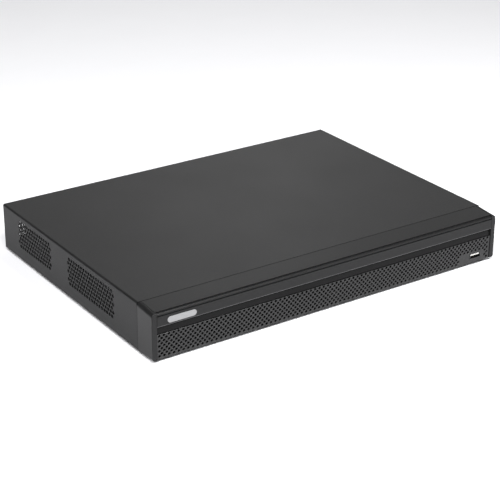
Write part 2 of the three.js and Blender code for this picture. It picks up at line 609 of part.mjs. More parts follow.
// Each blade is a thin plate on the hub, turned about its own length to its pitch.
function fanRotor() {
  const x0 = FAN_X0 + 0.8;
  const x1 = FAN_X1 - 1.5 - GAP - 0.2;
  const hub = barX(0, 0, FAN_HUB_R, x0, x1, 20);
  const bore = barX(0, 0, FAN_SHAFT_R + GAP, x0 + 1.5, x1 + 1, 12);
  const blades = [];
  const length = FAN_BORE_R - 0.8 - FAN_HUB_R + 1.5;
  for (let blade = 0; blade < FAN_BLADES; blade++) {
    const plate = new THREE.BoxGeometry(8, 1, length);
    plate.rotateZ(THREE.MathUtils.degToRad(38));
    plate.translate((x0 + x1) / 2, 0, FAN_HUB_R - 1.5 + length / 2);
    plate.rotateX((blade / FAN_BLADES) * 2 * Math.PI);
    blades.push(solid(plate));
  }
  return cut(join(hub, ...blades), bore).translate([0, FAN_Y, FAN_Z]);
}

// A headless screw, flush with the bracket so that the cover slides over it.
function fanScrew([y, z]) {
  return barX(y, z, FAN_SCREW_R, -TRAY_HALF, FAN_X1 - 3, 10);
}

// ---------- Boards and what stands on them ----------
const CHIP = 24;
const CHIP_HEIGHT = 2;
const SINK = 40;
const SINK_BASE = 3;
const SINK_HEIGHT = 15;
const SINK_FINS = 9;
const SINK_FIN = 1.2;
const CHIP_X = (BOARD_X0 + BOARD_X1) / 2 + 20;
const CHIP_Y = BOARD_Y0 + 30;
const COIN_R = 10;

function mainBoard() {
  const plate = slab(BOARD_X0, BOARD_X1, BOARD_Y0, BOARD_Y1, BOARD_Z, BOARD_TOP);
  return cut(plate, ...standoffs.map(([x, y]) =>
    barZ(x, y, BOARD_SCREW_R + GAP, BOARD_Z - 1, BOARD_TOP + 1, 8)));
}

function boardScrew([x, y]) {
  const head = barZ(x, y, 2.6, SEAT_Z, SEAT_Z + 1.6, 12);
  const shank = barZ(x, y, BOARD_SCREW_R, FLOOR_Z + 1.5, SEAT_Z + 0.5, 8);
  return cut(join(head, shank), slab(x - 1.8, x + 1.8, y - 0.3, y + 0.3, SEAT_Z + 0.8, SEAT_Z + 3));
}

function heatSink() {
  const z0 = SEAT_Z + CHIP_HEIGHT + GAP;
  const x0 = CHIP_X - SINK / 2;
  const base = slab(x0, x0 + SINK, CHIP_Y - SINK / 2, CHIP_Y + SINK / 2, z0, z0 + SINK_BASE);
  const fins = [];
  for (let fin = 0; fin < SINK_FINS; fin++) {
    const x = x0 + (fin * (SINK - SINK_FIN)) / (SINK_FINS - 1);
    fins.push(slab(x, x + SINK_FIN, CHIP_Y - SINK / 2, CHIP_Y + SINK / 2, z0 + 1, z0 + SINK_HEIGHT));
  }
  return join(base, ...fins);
}

// ---------- Leads inside the case, each with a plug at both ends ----------
const PLUG_HEIGHT = 8;
const SATA_THICKNESS = 1.6;
const SATA_PLUG = 6;
const SATA_DATA_WIDTH = 8;
const SATA_POWER_WIDTH = 14;
const SATA_DATA_X = DRIVE_X + DRIVE_WIDTH / 2 - 18;
const SATA_POWER_X = SATA_DATA_X - 26;
const SATA_Y = BOARD_Y0 + 16; // the sockets' line on the board
const FAN_PLUG_Y = SATA_Y + SATA_PLUG / 2 + 6;
const FAN_LEAD_WIDTH = 3;

function driveLead(x, width) {
  const mouthZ = DRIVE_Z + 5 + GAP;
  const half = width / 2 + 1;
  const atDrive = slab(x - half, x + half, DRIVE_Y1 - 4, DRIVE_Y1 + 8, mouthZ, mouthZ + 1.4);
  const body = slab(x - half, x + half, DRIVE_Y1 + 1, DRIVE_Y1 + 8, mouthZ - 3, mouthZ + 3.4);
  const plugTop = SEAT_Z + PLUG_HEIGHT;
  const atBoard = slab(x - half, x + half, SATA_Y - SATA_PLUG / 2, SATA_Y + SATA_PLUG / 2, SEAT_Z, plugTop);
  const route = leadOutline([
    [DRIVE_Y1 + 6, mouthZ + 0.2],
    [DRIVE_Y1 + 11, mouthZ + 2],
    [DRIVE_Y1 + 15, mouthZ + 9],
    [DRIVE_Y1 + 21, plugTop + 7],
    [SATA_Y - 3, plugTop + 8],
    [SATA_Y, plugTop + 3],
    [SATA_Y, plugTop - 1],
  ], SATA_THICKNESS);
  return join(atDrive, body, atBoard, alongX(route, x - width / 2, x + width / 2));
}

function fanLead() {
  const x1 = BOARD_X0 + 8;
  const plug = slab(x1 - 3, x1 + 3, FAN_PLUG_Y - 4, FAN_PLUG_Y + 4, SEAT_Z, SEAT_Z + PLUG_HEIGHT);
  const route = leadOutline([
    [FAN_X1 + GAP, FAN_Z - FAN_SIZE / 2 + 5],
    [FAN_X1 + 10, FAN_Z - FAN_SIZE / 2 + 4.5],
    [FAN_X1 + 22, FAN_Z - FAN_SIZE / 2 + 11],
    [x1 - 9, SEAT_Z + PLUG_HEIGHT + 4],
    [x1 - 2, SEAT_Z + PLUG_HEIGHT + 4],
    [x1, SEAT_Z + PLUG_HEIGHT - 1],
  ], 1.4);
  return join(plug, alongY(route, FAN_PLUG_Y - FAN_LEAD_WIDTH / 2, FAN_PLUG_Y + FAN_LEAD_WIDTH / 2));
}

const FREE_FLOOR = BOARD_Y0 - SEAM_Y; // the floor's length in front of the main board

// The ribbon passes the window in the tray's front wall and runs over the floor to the main board.
function frontRibbon() {
  const half = RIBBON_WIDTH / 2;
  const back = FRONT_BOARD_BACK + GAP;
  const boardPlugY = BOARD_Y0 + 8;
  const atFront = slab(RIBBON_X - half, RIBBON_X + half, back, back + 4, RIBBON_Z - 3, RIBBON_Z + 3);
  const atBoard = slab(RIBBON_X - half, RIBBON_X + half, boardPlugY - 3, boardPlugY + 3, SEAT_Z,
    SEAT_Z + PLUG_HEIGHT);
  const route = leadOutline([
    [back + 3, RIBBON_Z],
    [SEAM_Y + 5, RIBBON_Z],
    [SEAM_Y + 20, FLOOR_Z + 6],
    [SEAM_Y + 40, FLOOR_Z + 2.5],
    ...[1, 2, 3].map((part) => [SEAM_Y + 40 + (part / 4) * (FREE_FLOOR - 80), FLOOR_Z + 1.5]),
    [BOARD_Y0 - 40, FLOOR_Z + 2.5],
    [BOARD_Y0 - 16, FLOOR_Z + 8],
    [BOARD_Y0 - 2, SEAT_Z + PLUG_HEIGHT + 4],
    [boardPlugY - 1, SEAT_Z + PLUG_HEIGHT + 3],
    [boardPlugY, SEAT_Z + PLUG_HEIGHT - 1],
  ], 0.9);
  return join(atFront, atBoard, alongX(route, RIBBON_X - half + 1, RIBBON_X + half - 1));
}

// ---------- Rear connectors ----------
const CONNECTOR_PROUD = 1; // how far the flat sockets pass the panel
const SOCKET_MOUTH_Y = PANEL_OUT_Y + CONNECTOR_PROUD;
const BODY_Y = PANEL_IN_Y - GAP; // front of what stays behind the panel
const BNC_BODY_DEPTH = 12;
const BNC_BODY_HEIGHT = BNC_ROW_PITCH - GAP;
const BNC_LUG_R = 1;
const BNC_END_Y = REAR_Y + REAR_PROUD;
const bncPlaces = [];
for (let row = 0; row < 2; row++) {
  for (let column = 0; column < BNC_COLUMNS; column++) {
    const x = rowX.bnc + (column - (BNC_COLUMNS - 1) / 2) * BNC_PITCH;
    bncPlaces.push([x, SEAT_Z + BNC_BODY_HEIGHT / 2 + row * BNC_ROW_PITCH]);
  }
}

function bncConnector([x, z]) {
  const body = block(x, z, BNC_PITCH - GAP - 1, BNC_BODY_HEIGHT, BODY_Y - BNC_BODY_DEPTH, BODY_Y);
  const collarY = PANEL_OUT_Y + GAP;
  const barrel = turned(x, z, [
    [0, BODY_Y - 1],
    [BNC_BARREL_R, BODY_Y - 1],
    [BNC_BARREL_R, collarY],
    [BNC_COLLAR_R, collarY],
    [BNC_COLLAR_R, collarY + 2],
    [BNC_BARREL_R, collarY + 2],
    [BNC_BARREL_R, BNC_END_Y],
    [BNC_BARREL_R - 1, BNC_END_Y],
    [BNC_BARREL_R - 1, collarY + 1],
    [0.9, collarY + 1],
    [0.9, BNC_END_Y - 2],
    [0, BNC_END_Y - 2],
  ], 14);
  const reach = BNC_BARREL_R + 1;
  const lugs = barX(BNC_END_Y - 3.5, z, BNC_LUG_R, x - reach, x + reach, 6);
  const middle = barY(x, z, BNC_BARREL_R - 0.5, BNC_END_Y - 6, BNC_END_Y, 8);
  return join(body, barrel, cut(lugs, middle));
}

const AUDIO_HEIGHT = 26;
const AUDIO_PITCH = 13;
const audioPlaces = [SEAT_Z + 6.5, SEAT_Z + 6.5 + AUDIO_PITCH].map((z) => [rowX.audio, z]);

function audioJacks() {
  const z = SEAT_Z + AUDIO_HEIGHT / 2;
  const body = block(rowX.audio, z, AUDIO_WIDTH, AUDIO_HEIGHT, BODY_Y - 12, BODY_Y);
  const end = REAR_Y + REAR_PROUD - 1;
  const barrels = audioPlaces.map(([x, centre]) => turned(x, centre, [
    [0, BODY_Y - 1],
    [AUDIO_BARREL_R, BODY_Y - 1],
    [AUDIO_BARREL_R, end],
    [1.7, end],
    [1.7, PANEL_OUT_Y],
    [0, PANEL_OUT_Y],
  ], 16));
  return join(body, ...barrels);
}

const VGA_SHELL_WIDTH = 17;
const VGA_SHELL_HEIGHT = 8.4;
const VGA_NUT_PITCH = 25;
const VGA_NUT_R = 2.6;
const VGA_Z = SEAT_Z + VGA_HEIGHT / 2;
const vgaNuts = [-1, 1].map((side) => [rowX.vga + (side * VGA_NUT_PITCH) / 2, VGA_Z]);

// The outline of the shell is a D: its lower side is shorter than its upper side.
function vgaOutline(inset) {
  const halfTop = VGA_SHELL_WIDTH / 2 - inset;
  const halfBottom = halfTop - 1.6;
  const halfHeight = VGA_SHELL_HEIGHT / 2 - inset;
  return outlineOf([
    [rowX.vga - halfBottom, VGA_Z - halfHeight],
    [rowX.vga + halfBottom, VGA_Z - halfHeight],
    [rowX.vga + halfTop, VGA_Z + halfHeight],
    [rowX.vga - halfTop, VGA_Z + halfHeight],
  ]);
}

function vgaPort() {
  const end = PANEL_OUT_Y + 6;
  const body = block(rowX.vga, VGA_Z, VGA_WIDTH, VGA_HEIGHT, BODY_Y - 12, BODY_Y);
  const shell = cut(alongY(vgaOutline(0), BODY_Y - 1, end), alongY(vgaOutline(0.6), PANEL_OUT_Y, end + 1));
  const insert = alongY(vgaOutline(1.4), PANEL_OUT_Y - 1, end - 0.6);
  const nuts = vgaNuts.map(([x, z]) => barY(x, z, VGA_NUT_R, BODY_Y - 1, PANEL_OUT_Y + 4.5, 6));
  const threads = vgaNuts.map(([x, z]) => barY(x, z, 1.3, PANEL_OUT_Y, PANEL_OUT_Y + 6, 8));
  return cut(join(body, shell, insert, ...nuts), ...threads);
}

const REAR_USB_DEPTH = 14;
const HDMI_Z = SEAT_Z + HDMI_HEIGHT / 2;
const USB_Z = SEAT_Z + USB_HEIGHT / 2;
const LAN_Z = SEAT_Z + LAN_HEIGHT / 2;
const LAN_DEPTH = 21;
const LAN_MOUTH_WIDTH = 11.8;
const LAN_MOUTH_HEIGHT = 8;
const LAN_MOUTH_DEPTH = 12;

function lanPort() {
  const x = rowX.lan;
  const z = SEAT_Z + 2.6 + LAN_MOUTH_HEIGHT / 2;
  const body = block(x, LAN_Z, LAN_WIDTH, LAN_HEIGHT, SOCKET_MOUTH_Y - LAN_DEPTH, SOCKET_MOUTH_Y);
  const inner = SOCKET_MOUTH_Y - LAN_MOUTH_DEPTH;
  const mouth = block(x, z, LAN_MOUTH_WIDTH, LAN_MOUTH_HEIGHT, inner, SOCKET_MOUTH_Y + 1);
  const latch = block(x, z - LAN_MOUTH_HEIGHT / 2, 5.6, 3, SOCKET_MOUTH_Y - 8, SOCKET_MOUTH_Y + 1);
  return cut(body, mouth, latch);
}

// ---------- Terminal strip: a shroud on the board and a plug that pulls straight out ----------
const TERMINAL_DEPTH = 12;
const TERMINAL_WALL = 1;
const TERMINAL_ROOM_DEPTH = 8;
const TERMINAL_Z = SEAT_Z + TERMINAL_HEIGHT / 2;
const TERMINAL_PLUG_OUT = 6; // how far the plug stands out of its shroud

function terminalHeader() {
  const body = block(rowX.terminal, TERMINAL_Z, TERMINAL_WIDTH, TERMINAL_HEIGHT,
    SOCKET_MOUTH_Y - TERMINAL_DEPTH, SOCKET_MOUTH_Y);
  const room = block(rowX.terminal, TERMINAL_Z, TERMINAL_WIDTH - 2 * TERMINAL_WALL,
    TERMINAL_HEIGHT - 2 * TERMINAL_WALL, SOCKET_MOUTH_Y - TERMINAL_ROOM_DEPTH, SOCKET_MOUTH_Y + 1);
  return cut(body, room);
}

function terminalPlug() {
  const width = TERMINAL_WIDTH - 2 * TERMINAL_WALL - 2 * GAP;
  const height = TERMINAL_HEIGHT - 2 * TERMINAL_WALL - 2 * GAP;
  const start = SOCKET_MOUTH_Y - TERMINAL_ROOM_DEPTH + GAP;
  const end = SOCKET_MOUTH_Y + TERMINAL_PLUG_OUT;
  const body = block(rowX.terminal, TERMINAL_Z, width, height, start, end);
  const holes = [];
  for (let pole = 0; pole < TERMINAL_POLES; pole++) {
    const x = rowX.terminal + (pole - (TERMINAL_POLES - 1) / 2) * TERMINAL_PITCH;
    holes.push(block(x, TERMINAL_Z - 0.8, 2.2, 2.6, end - 4, end + 1));
    holes.push(barZ(x, end - 3.2, 0.9, TERMINAL_Z + height / 2 - 1, TERMINAL_Z + height, 8));
  }
  return cut(body, ...holes);
}

const DC_Z = SEAT_Z + DC_HEIGHT / 2;
const DC_BORE_R = 3.2;
const DC_PIN_R = 1;

function dcInlet() {
  const body = block(rowX.dc, DC_Z, DC_WIDTH, DC_HEIGHT, SOCKET_MOUTH_Y - 14, SOCKET_MOUTH_Y);
  const bore = barY(rowX.dc, DC_Z, DC_BORE_R, SOCKET_MOUTH_Y - 9, SOCKET_MOUTH_Y + 1, 18);
  const pin = barY(rowX.dc, DC_Z, DC_PIN_R, SOCKET_MOUTH_Y - 10, SOCKET_MOUTH_Y - 1, 10);
  return join(cut(body, bore), pin);
}

// ---------- Power switch ----------
const SWITCH_DEPTH = 14;
const SWITCH_WALL = 0.9;
const SWITCH_Z = SEAT_Z + 9;
const SWITCH_FLANGE = 1.4;
const ROCKER_TILT = 8; // degrees to each side of level
const TRUNNION_R = 0.8;
const PIVOT_Y = PANEL_OUT_Y;
const ROCKER_WIDTH = SWITCH_WIDTH - 2 * SWITCH_WALL - 2 * GAP;

function switchHousing() {
  const x = rowX.switch;
  const flangeY = PANEL_OUT_Y + GAP;
  const front = flangeY + SWITCH_FLANGE;
  const body = block(x, SWITCH_Z, SWITCH_WIDTH, SWITCH_HEIGHT, PANEL_IN_Y - SWITCH_DEPTH, front - 0.2);
  const rim = 2 * SWITCH_RIM;
  const flange = block(x, SWITCH_Z, SWITCH_WIDTH + rim, SWITCH_HEIGHT + rim, flangeY, front);
  const well = block(x, SWITCH_Z, SWITCH_WIDTH - 2 * SWITCH_WALL, SWITCH_HEIGHT - 2 * SWITCH_WALL / 1.5,
    PIVOT_Y - 5, front + 1);
  const bearing = barX(PIVOT_Y, SWITCH_Z, TRUNNION_R + GAP, x - SWITCH_WIDTH / 2, x + SWITCH_WIDTH / 2, 12);
  return cut(join(body, flange), well, bearing);
}

// The rocker's face is a shallow V, and it turns on two stub trunnions in the housing's walls.
function powerRocker() {
  const halfHeight = 5;
  const face = 3.2;
  const outline = outlineOf([
    [face, halfHeight],
    [-1.2, halfHeight],
    [-2.8, 1.5],
    [-2.8, -1.5],
    [-1.2, -halfHeight],
    [face, -halfHeight],
    [face - 1.4, 0],
  ]);
  const saddle = alongX(outline, -ROCKER_WIDTH / 2, ROCKER_WIDTH / 2);
  const trunnions = barX(0, 0, TRUNNION_R, -SWITCH_WIDTH / 2 + 0.2, SWITCH_WIDTH / 2 - 0.2, 12);
  return join(saddle, trunnions).rotate([-ROCKER_TILT, 0, 0]).translate([rowX.switch, PIVOT_Y, SWITCH_Z]);
}

function switchLead() {
  const x = rowX.switch;
  const back = PANEL_IN_Y - SWITCH_DEPTH - GAP;
  const plugX = BOARD_X1 - 5;
  const plug = slab(plugX - 3, plugX + 3, back - 6, back, SEAT_Z, SEAT_Z + PLUG_HEIGHT);
  const atSwitch = slab(x - 3, x + 3, back - 6, back, SWITCH_Z - 2, SWITCH_Z + 2);
  const route = leadOutline([
    [x, SWITCH_Z],
    [x - 6, SWITCH_Z + 2],
    [plugX + 2, SEAT_Z + PLUG_HEIGHT + 4],
    [plugX, SEAT_Z + PLUG_HEIGHT - 1],
  ], 1.6);
  return join(plug, atSwitch, alongY(route, back - 4.2, back - 1.8));
}

const GROUND_Z = SEAT_Z + 6;
const GROUND_SCREW_R = 1.9;

function groundScrew() {
  const x = rowX.ground;
  const seat = PANEL_OUT_Y + GAP;
  const head = barY(x, GROUND_Z, GROUND_HEAD_R, seat, seat + 2.4, 18);
  const shank = barY(x, GROUND_Z, GROUND_SCREW_R, PANEL_IN_Y - 4, seat + 0.5, 10);
  const cross = [slab(x - 2.2, x + 2.2, seat + 1.2, seat + 4, GROUND_Z - 0.45, GROUND_Z + 0.45),
    slab(x - 0.45, x + 0.45, seat + 1.2, seat + 4, GROUND_Z - 2.2, GROUND_Z + 2.2)];
  return cut(join(head, shank), ...cross);
}

// ---------- Rear panel ----------
const REAR_VENT_SLOTS = 6;
const REAR_VENT_SLOT = 2.2;
const REAR_VENT_PITCH = 4.4;
const REAR_VENT_Z = FLOOR_Z + 9;

function rearPanel() {
  const y0 = PANEL_IN_Y - 1;
  const y1 = PANEL_OUT_Y + 1;
  const top = TOP_Z - SHEET - GAP;
  const plate = slab(-TRAY_HALF, TRAY_HALF, PANEL_IN_Y, PANEL_OUT_Y, CASE_Z, top);
  const round = (x, z, radius) => barY(x, z, radius + GAP, y0, y1, 16);
  const square = (x, z, width, height) => block(x, z, width + 2 * GAP, height + 2 * GAP, y0, y1);
  const holes = [
    ...bncPlaces.map(([x, z]) => round(x, z, BNC_BARREL_R)),
    ...audioPlaces.map(([x, z]) => round(x, z, AUDIO_BARREL_R)),
    ...vgaNuts.map(([x, z]) => round(x, z, VGA_NUT_R)),
    ...tabs.map((x) => round(x, TAB_SCREW_Z, COVER_SCREW_R)),
    round(rowX.ground, GROUND_Z, GROUND_SCREW_R),
    square(rowX.vga, VGA_Z, VGA_SHELL_WIDTH, VGA_SHELL_HEIGHT),
    square(rowX.hdmi, HDMI_Z, HDMI_WIDTH, HDMI_HEIGHT),
    square(rowX.usb, USB_Z, USB_WIDTH, USB_HEIGHT),
    square(rowX.lan, LAN_Z, LAN_WIDTH, LAN_HEIGHT),
    square(rowX.terminal, TERMINAL_Z, TERMINAL_WIDTH, TERMINAL_HEIGHT),
    square(rowX.dc, DC_Z, DC_WIDTH, DC_HEIGHT),
    square(rowX.switch, SWITCH_Z, SWITCH_WIDTH, SWITCH_HEIGHT),
  ];
  for (let slot = 0; slot < REAR_VENT_SLOTS; slot++) {
    const z = REAR_VENT_Z + slot * REAR_VENT_PITCH;
    holes.push(block(rowX.vent, z, REAR_VENT_WIDTH, REAR_VENT_SLOT, y0, y1));
  }
  return cut(plate, ...holes);
}

// ---------- The recorder ----------
node("base_tray", baseTray(), PAINT);
node("rear_panel", rearPanel(), PAINT);
node("top_cover", topCover(), PAINT);
tabs.forEach((x, i) => node(`cover_screw_${i + 1}`, coverScrew(x), NICKEL));
feet.forEach((place, i) => node(`foot_${i + 1}`, foot(place), RUBBER));

node("bezel_frame", bezelFrame(), BEZEL_PLASTIC);
node("fascia_strip", fasciaStrip(), BEZEL_PLASTIC);
node("indicator_window", indicatorWindow(), WINDOW_PLASTIC);
node("front_grille", frontGrille(), BEZEL_PLASTIC);
node("badge_plate", badgePlate(), BADGE_INK);
node("light_pipe", lightPipe(), CLEAR_PIPE);
node("front_board", frontBoard(), BOARD_GREEN);
node("front_ribbon", frontRibbon(), CABLE_GREY);
node("front_usb_port", socket(FRONT_USB_X, FRONT_USB_Z, USB_WIDTH, USB_HEIGHT, FRONT_USB_Y,
  FRONT_USB_DEPTH, 0.5, -0.9), NICKEL);

node("main_board", mainBoard(), BOARD_GREEN);
standoffs.slice(0, 4).forEach((place, i) => node(`board_screw_${i + 1}`, boardScrew(place), NICKEL));
node("processor", block(CHIP_X, SEAT_Z + CHIP_HEIGHT / 2, CHIP, CHIP_HEIGHT, CHIP_Y - CHIP / 2,
  CHIP_Y + CHIP / 2), BLACK_PLASTIC);
node("heat_sink", heatSink(), ALUMINIUM);
node("coin_cell", barZ(BOARD_X1 - 60, BOARD_Y0 + 22, COIN_R, SEAT_Z, SEAT_Z + 4, 20), NICKEL);

node("drive_body", driveBody(), ALUMINIUM);
node("drive_lid", driveLid(), BARE_STEEL);
driveHoles.forEach((place, i) => node(`drive_screw_${i + 1}`, driveScrew(place), NICKEL));
node("sata_data_cable", driveLead(SATA_DATA_X, SATA_DATA_WIDTH), CABLE_RED);
node("sata_power_cable", driveLead(SATA_POWER_X, SATA_POWER_WIDTH), CABLE_BLACK);

node("fan_frame", fanFrame(), BLACK_PLASTIC);
node("fan_rotor", fanRotor(), BLACK_PLASTIC);
fanHoles.forEach((place, i) => node(`fan_screw_${i + 1}`, fanScrew(place), NICKEL));
node("fan_lead", fanLead(), CABLE_BLACK);

bncPlaces.forEach((place, i) => node(`bnc_socket_${i + 1}`, bncConnector(place), NICKEL));
node("audio_jacks", audioJacks(), WHITE_PLASTIC);
node("vga_port", vgaPort(), VGA_BLUE);
node("hdmi_port", socket(rowX.hdmi, HDMI_Z, HDMI_WIDTH, HDMI_HEIGHT, SOCKET_MOUTH_Y, -12, 0.5, 0), NICKEL);
node("rear_usb_port", socket(rowX.usb, USB_Z, USB_WIDTH, USB_HEIGHT, SOCKET_MOUTH_Y,
  -REAR_USB_DEPTH, 0.5, 0.9), NICKEL);
node("lan_port", lanPort(), NICKEL);
node("terminal_header", terminalHeader(), TERMINAL_GREEN);
node("terminal_plug", terminalPlug(), TERMINAL_GREEN);
node("dc_inlet", dcInlet(), BLACK_PLASTIC);
node("switch_housing", switchHousing(), BLACK_PLASTIC);
node("power_rocker", powerRocker(), BLACK_PLASTIC);
node("switch_lead", switchLead(), CABLE_BLACK);
node("ground_screw", groundScrew(), NICKEL);

export default group;
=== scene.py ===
# %% [markdown]
# # A flat video recorder, from its case to its sockets
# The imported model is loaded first. It holds the frame of the recorder: every piece at its real size
# and place, in metres, with X to the right, Y to the rear and Z up. Each cell after that either gives
# one of those pieces its finish, or models a finer piece that stands for it.

import json
import math
import random

import bpy
from mathutils import Matrix, Vector


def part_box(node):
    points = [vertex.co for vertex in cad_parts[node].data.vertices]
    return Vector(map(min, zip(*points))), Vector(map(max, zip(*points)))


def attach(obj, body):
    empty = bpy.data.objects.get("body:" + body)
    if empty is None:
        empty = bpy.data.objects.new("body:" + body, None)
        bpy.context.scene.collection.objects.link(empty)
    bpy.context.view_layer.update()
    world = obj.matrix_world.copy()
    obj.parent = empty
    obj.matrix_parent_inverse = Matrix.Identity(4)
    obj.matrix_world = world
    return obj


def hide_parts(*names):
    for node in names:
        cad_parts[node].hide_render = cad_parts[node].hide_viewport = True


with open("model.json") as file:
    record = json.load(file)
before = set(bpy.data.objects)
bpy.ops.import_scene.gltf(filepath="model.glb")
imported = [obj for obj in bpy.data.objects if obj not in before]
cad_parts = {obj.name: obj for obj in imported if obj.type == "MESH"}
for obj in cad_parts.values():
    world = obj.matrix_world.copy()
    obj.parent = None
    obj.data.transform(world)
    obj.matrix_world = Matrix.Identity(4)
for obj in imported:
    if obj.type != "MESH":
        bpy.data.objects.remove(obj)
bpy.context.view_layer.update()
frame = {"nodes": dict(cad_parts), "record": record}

# %% [markdown]
# Sizes are written in millimetres and become metres through MM. Places come from the boxes of the
# pieces in the frame, so nothing is measured twice.

# %% Units and places
MM = 0.001
COVER_LOW, COVER_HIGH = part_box("top_cover")
BEZEL_LOW, BEZEL_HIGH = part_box("bezel_frame")
GRILLE_LOW, GRILLE_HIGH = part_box("front_grille")
PANEL_LOW, PANEL_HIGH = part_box("rear_panel")
REAR_FACE = PANEL_HIGH[1]
BEHIND_PANEL = PANEL_LOW[1] - 0.3 * MM  # where the bodies behind the rear panel end
SHEET = 1.0 * MM
print("cover:", [round(1000 * (h - l), 1) for l, h in zip(COVER_LOW, COVER_HIGH)], "mm")


def middle_of(node):
    low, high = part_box(node)
    return Vector([(a + b) / 2 for a, b in zip(low, high)])


def seat_of(node):
    """The lower corner, the upper corner and the middle of a piece of the frame."""
    return (*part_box(node), middle_of(node))


# %% [markdown]
# The camera comes first, because it settles how the whole picture is laid out. It looks down from the
# front left corner with a long lens, as a catalogue picture does, so the edges converge only a little.

# %% Camera
VIEW_AZIMUTH = math.radians(-34.26)
VIEW_ELEVATION = math.radians(24.52)
VIEW_ROLL = math.radians(0.31)
VIEW_DISTANCE = 1.4
AIM = Vector((-24.65, -43.22, 26.11)) * MM
LENS = 109.65  # in millimetres, as is the sensor's width
SENSOR_WIDTH = 36
FARTHEST_SEEN = 50

towards_camera = Vector((
    math.sin(VIEW_AZIMUTH) * math.cos(VIEW_ELEVATION),
    -math.cos(VIEW_AZIMUTH) * math.cos(VIEW_ELEVATION),
    math.sin(VIEW_ELEVATION),
))
bpy.ops.object.camera_add(location=AIM + towards_camera * VIEW_DISTANCE)
camera = bpy.context.object
camera.name = "camera"
camera.data.lens = LENS
camera.data.sensor_width = SENSOR_WIDTH
camera.data.clip_end = FARTHEST_SEEN
turn = towards_camera.to_track_quat("Z", "Y")
camera.rotation_euler = (turn.to_matrix() @ Matrix.Rotation(VIEW_ROLL, 3, "Z")).to_euler()
bpy.context.scene.camera = camera

# %% [markdown]
# The surround and all the finishes are built from nodes. One helper adds a node with its options and
# the values of its inputs, where a label's spaces are written as underscores. Another wires sockets.

# %% Node helpers
MULTIPLY = {"operation": "MULTIPLY"}
DIVIDE = {"operation": "DIVIDE"}
COLOURS = {"data_type": "RGBA"}
EASED = {"interpolation_type": "SMOOTHSTEP"}


def add_node(tree, kind, options=(), **values):
    node = tree.nodes.new("ShaderNode" + kind)
    for option, value in dict(options).items():
        setattr(node, option, value)
    for label, value in values.items():
        node.inputs[label.replace("_", " ")].default_value = value
    return node


def wire(tree, *pairs):
    for source, target in pairs:
        tree.links.new(source, target)


# %% [markdown]
# The studio is a plain pale floor under soft light. One broad lamp stands high at the front left. A
# small soft panel at the front draws a line of light along the ridge, and a weak one at the rear right
# keeps the back from going black. The surround is bright near the horizon and dark overhead, as in a
# room with pale walls and a dark ceiling. Flat faces reflect the pale walls, and every rounded edge
# reflects the ceiling, so bends and crowns show as fine dark lines. The colour transform is the plain
# one, so a grey in a material comes out as that grey.

# %% Studio
FLOOR_SIZE = 14
LAMPS = (  # name, place and aim, width, power in watts
    ("key_panel", (-1.2, -1.25, 1.9), (0, 0, 0), 1.6, 92),
    ("front_panel", (0.3, -0.85, 1.1), (-0.1, -0.14, 0.04), 0.4, 13),
    ("rear_panel_light", (0.8, 1.17, 0.82), (0, 0, 0.05), 0.55, 0.95),
)
WALL_LIGHT = 0.78
CEILING_LIGHT = 0.03
WALL_TOP = 0.46  # sine of the elevation where the pale walls end
CEILING_FROM = 0.6
LEFT_DARK = -0.3  # the walls darken towards the left, from here
RIGHT_PALE = 0.12  # to here
LEFT_SHARE = 0.15  # of the walls' light that is left there

bpy.ops.mesh.primitive_plane_add(size=FLOOR_SIZE, location=(0, 0, 0))
studio_floor = bpy.context.object
studio_floor.name = "studio_floor"
for name, place, aim, size, power in LAMPS:
    bpy.ops.object.light_add(type="AREA", location=place)
    light = bpy.context.object
    light.name = name
    light.data.shape = "DISK"
    light.data.size = size
    light.data.energy = power
    light.rotation_euler = (Vector(place) - Vector(aim)).to_track_quat("Z", "Y").to_euler()

world = bpy.data.worlds.new("surround")
bpy.context.scene.world = world
world.use_nodes = True
sky = world.node_tree
outlook = add_node(sky, "TexCoord")
direction = add_node(sky, "SeparateXYZ")
upwards = add_node(
    sky, "MapRange", EASED,
    From_Min=WALL_TOP, From_Max=CEILING_FROM, To_Min=WALL_LIGHT, To_Max=CEILING_LIGHT)
sideways = add_node(sky, "MapRange", EASED, From_Min=LEFT_DARK, From_Max=RIGHT_PALE, To_Min=LEFT_SHARE)
strength = add_node(sky, "Math", MULTIPLY)
surround = sky.nodes["Background"]
surround.inputs["Color"].default_value = (1, 1, 1, 1)
wire(
    sky,
    (outlook.outputs["Generated"], direction.inputs["Vector"]),
    (direction.outputs["Z"], upwards.inputs["Value"]),
    (direction.outputs["X"], sideways.inputs["Value"]),
    (upwards.outputs["Result"], strength.inputs[0]),
    (sideways.outputs["Result"], strength.inputs[1]),
    (strength.outputs[0], surround.inputs["Strength"]),
)
bpy.context.scene.view_settings.view_transform = "Standard"

# %% [markdown]
# ## Finishes
# Painted steel, moulded plastic and rubber all have a fine grain, and none of them is one flat grey.
# One node group makes that grain for every finish: a height for the Bump node, and a slow mottle that
# moves the colour and the gloss a little. Each material then gives it its own grain size.


# %% Grain group
def new_group(name, inputs, outputs):
    group = bpy.data.node_groups.new(name, "ShaderNodeTree")
    for label, kind, value in inputs:
        socket = group.interface.new_socket(name=label, in_out="INPUT", socket_type=kind)
        if value is not None:
            socket.default_value = value
    for label, kind in outputs:
        group.interface.new_socket(name=label, in_out="OUTPUT", socket_type=kind)
    start = group.nodes.new("NodeGroupInput")
    end = group.nodes.new("NodeGroupOutput")
    return group, start, end


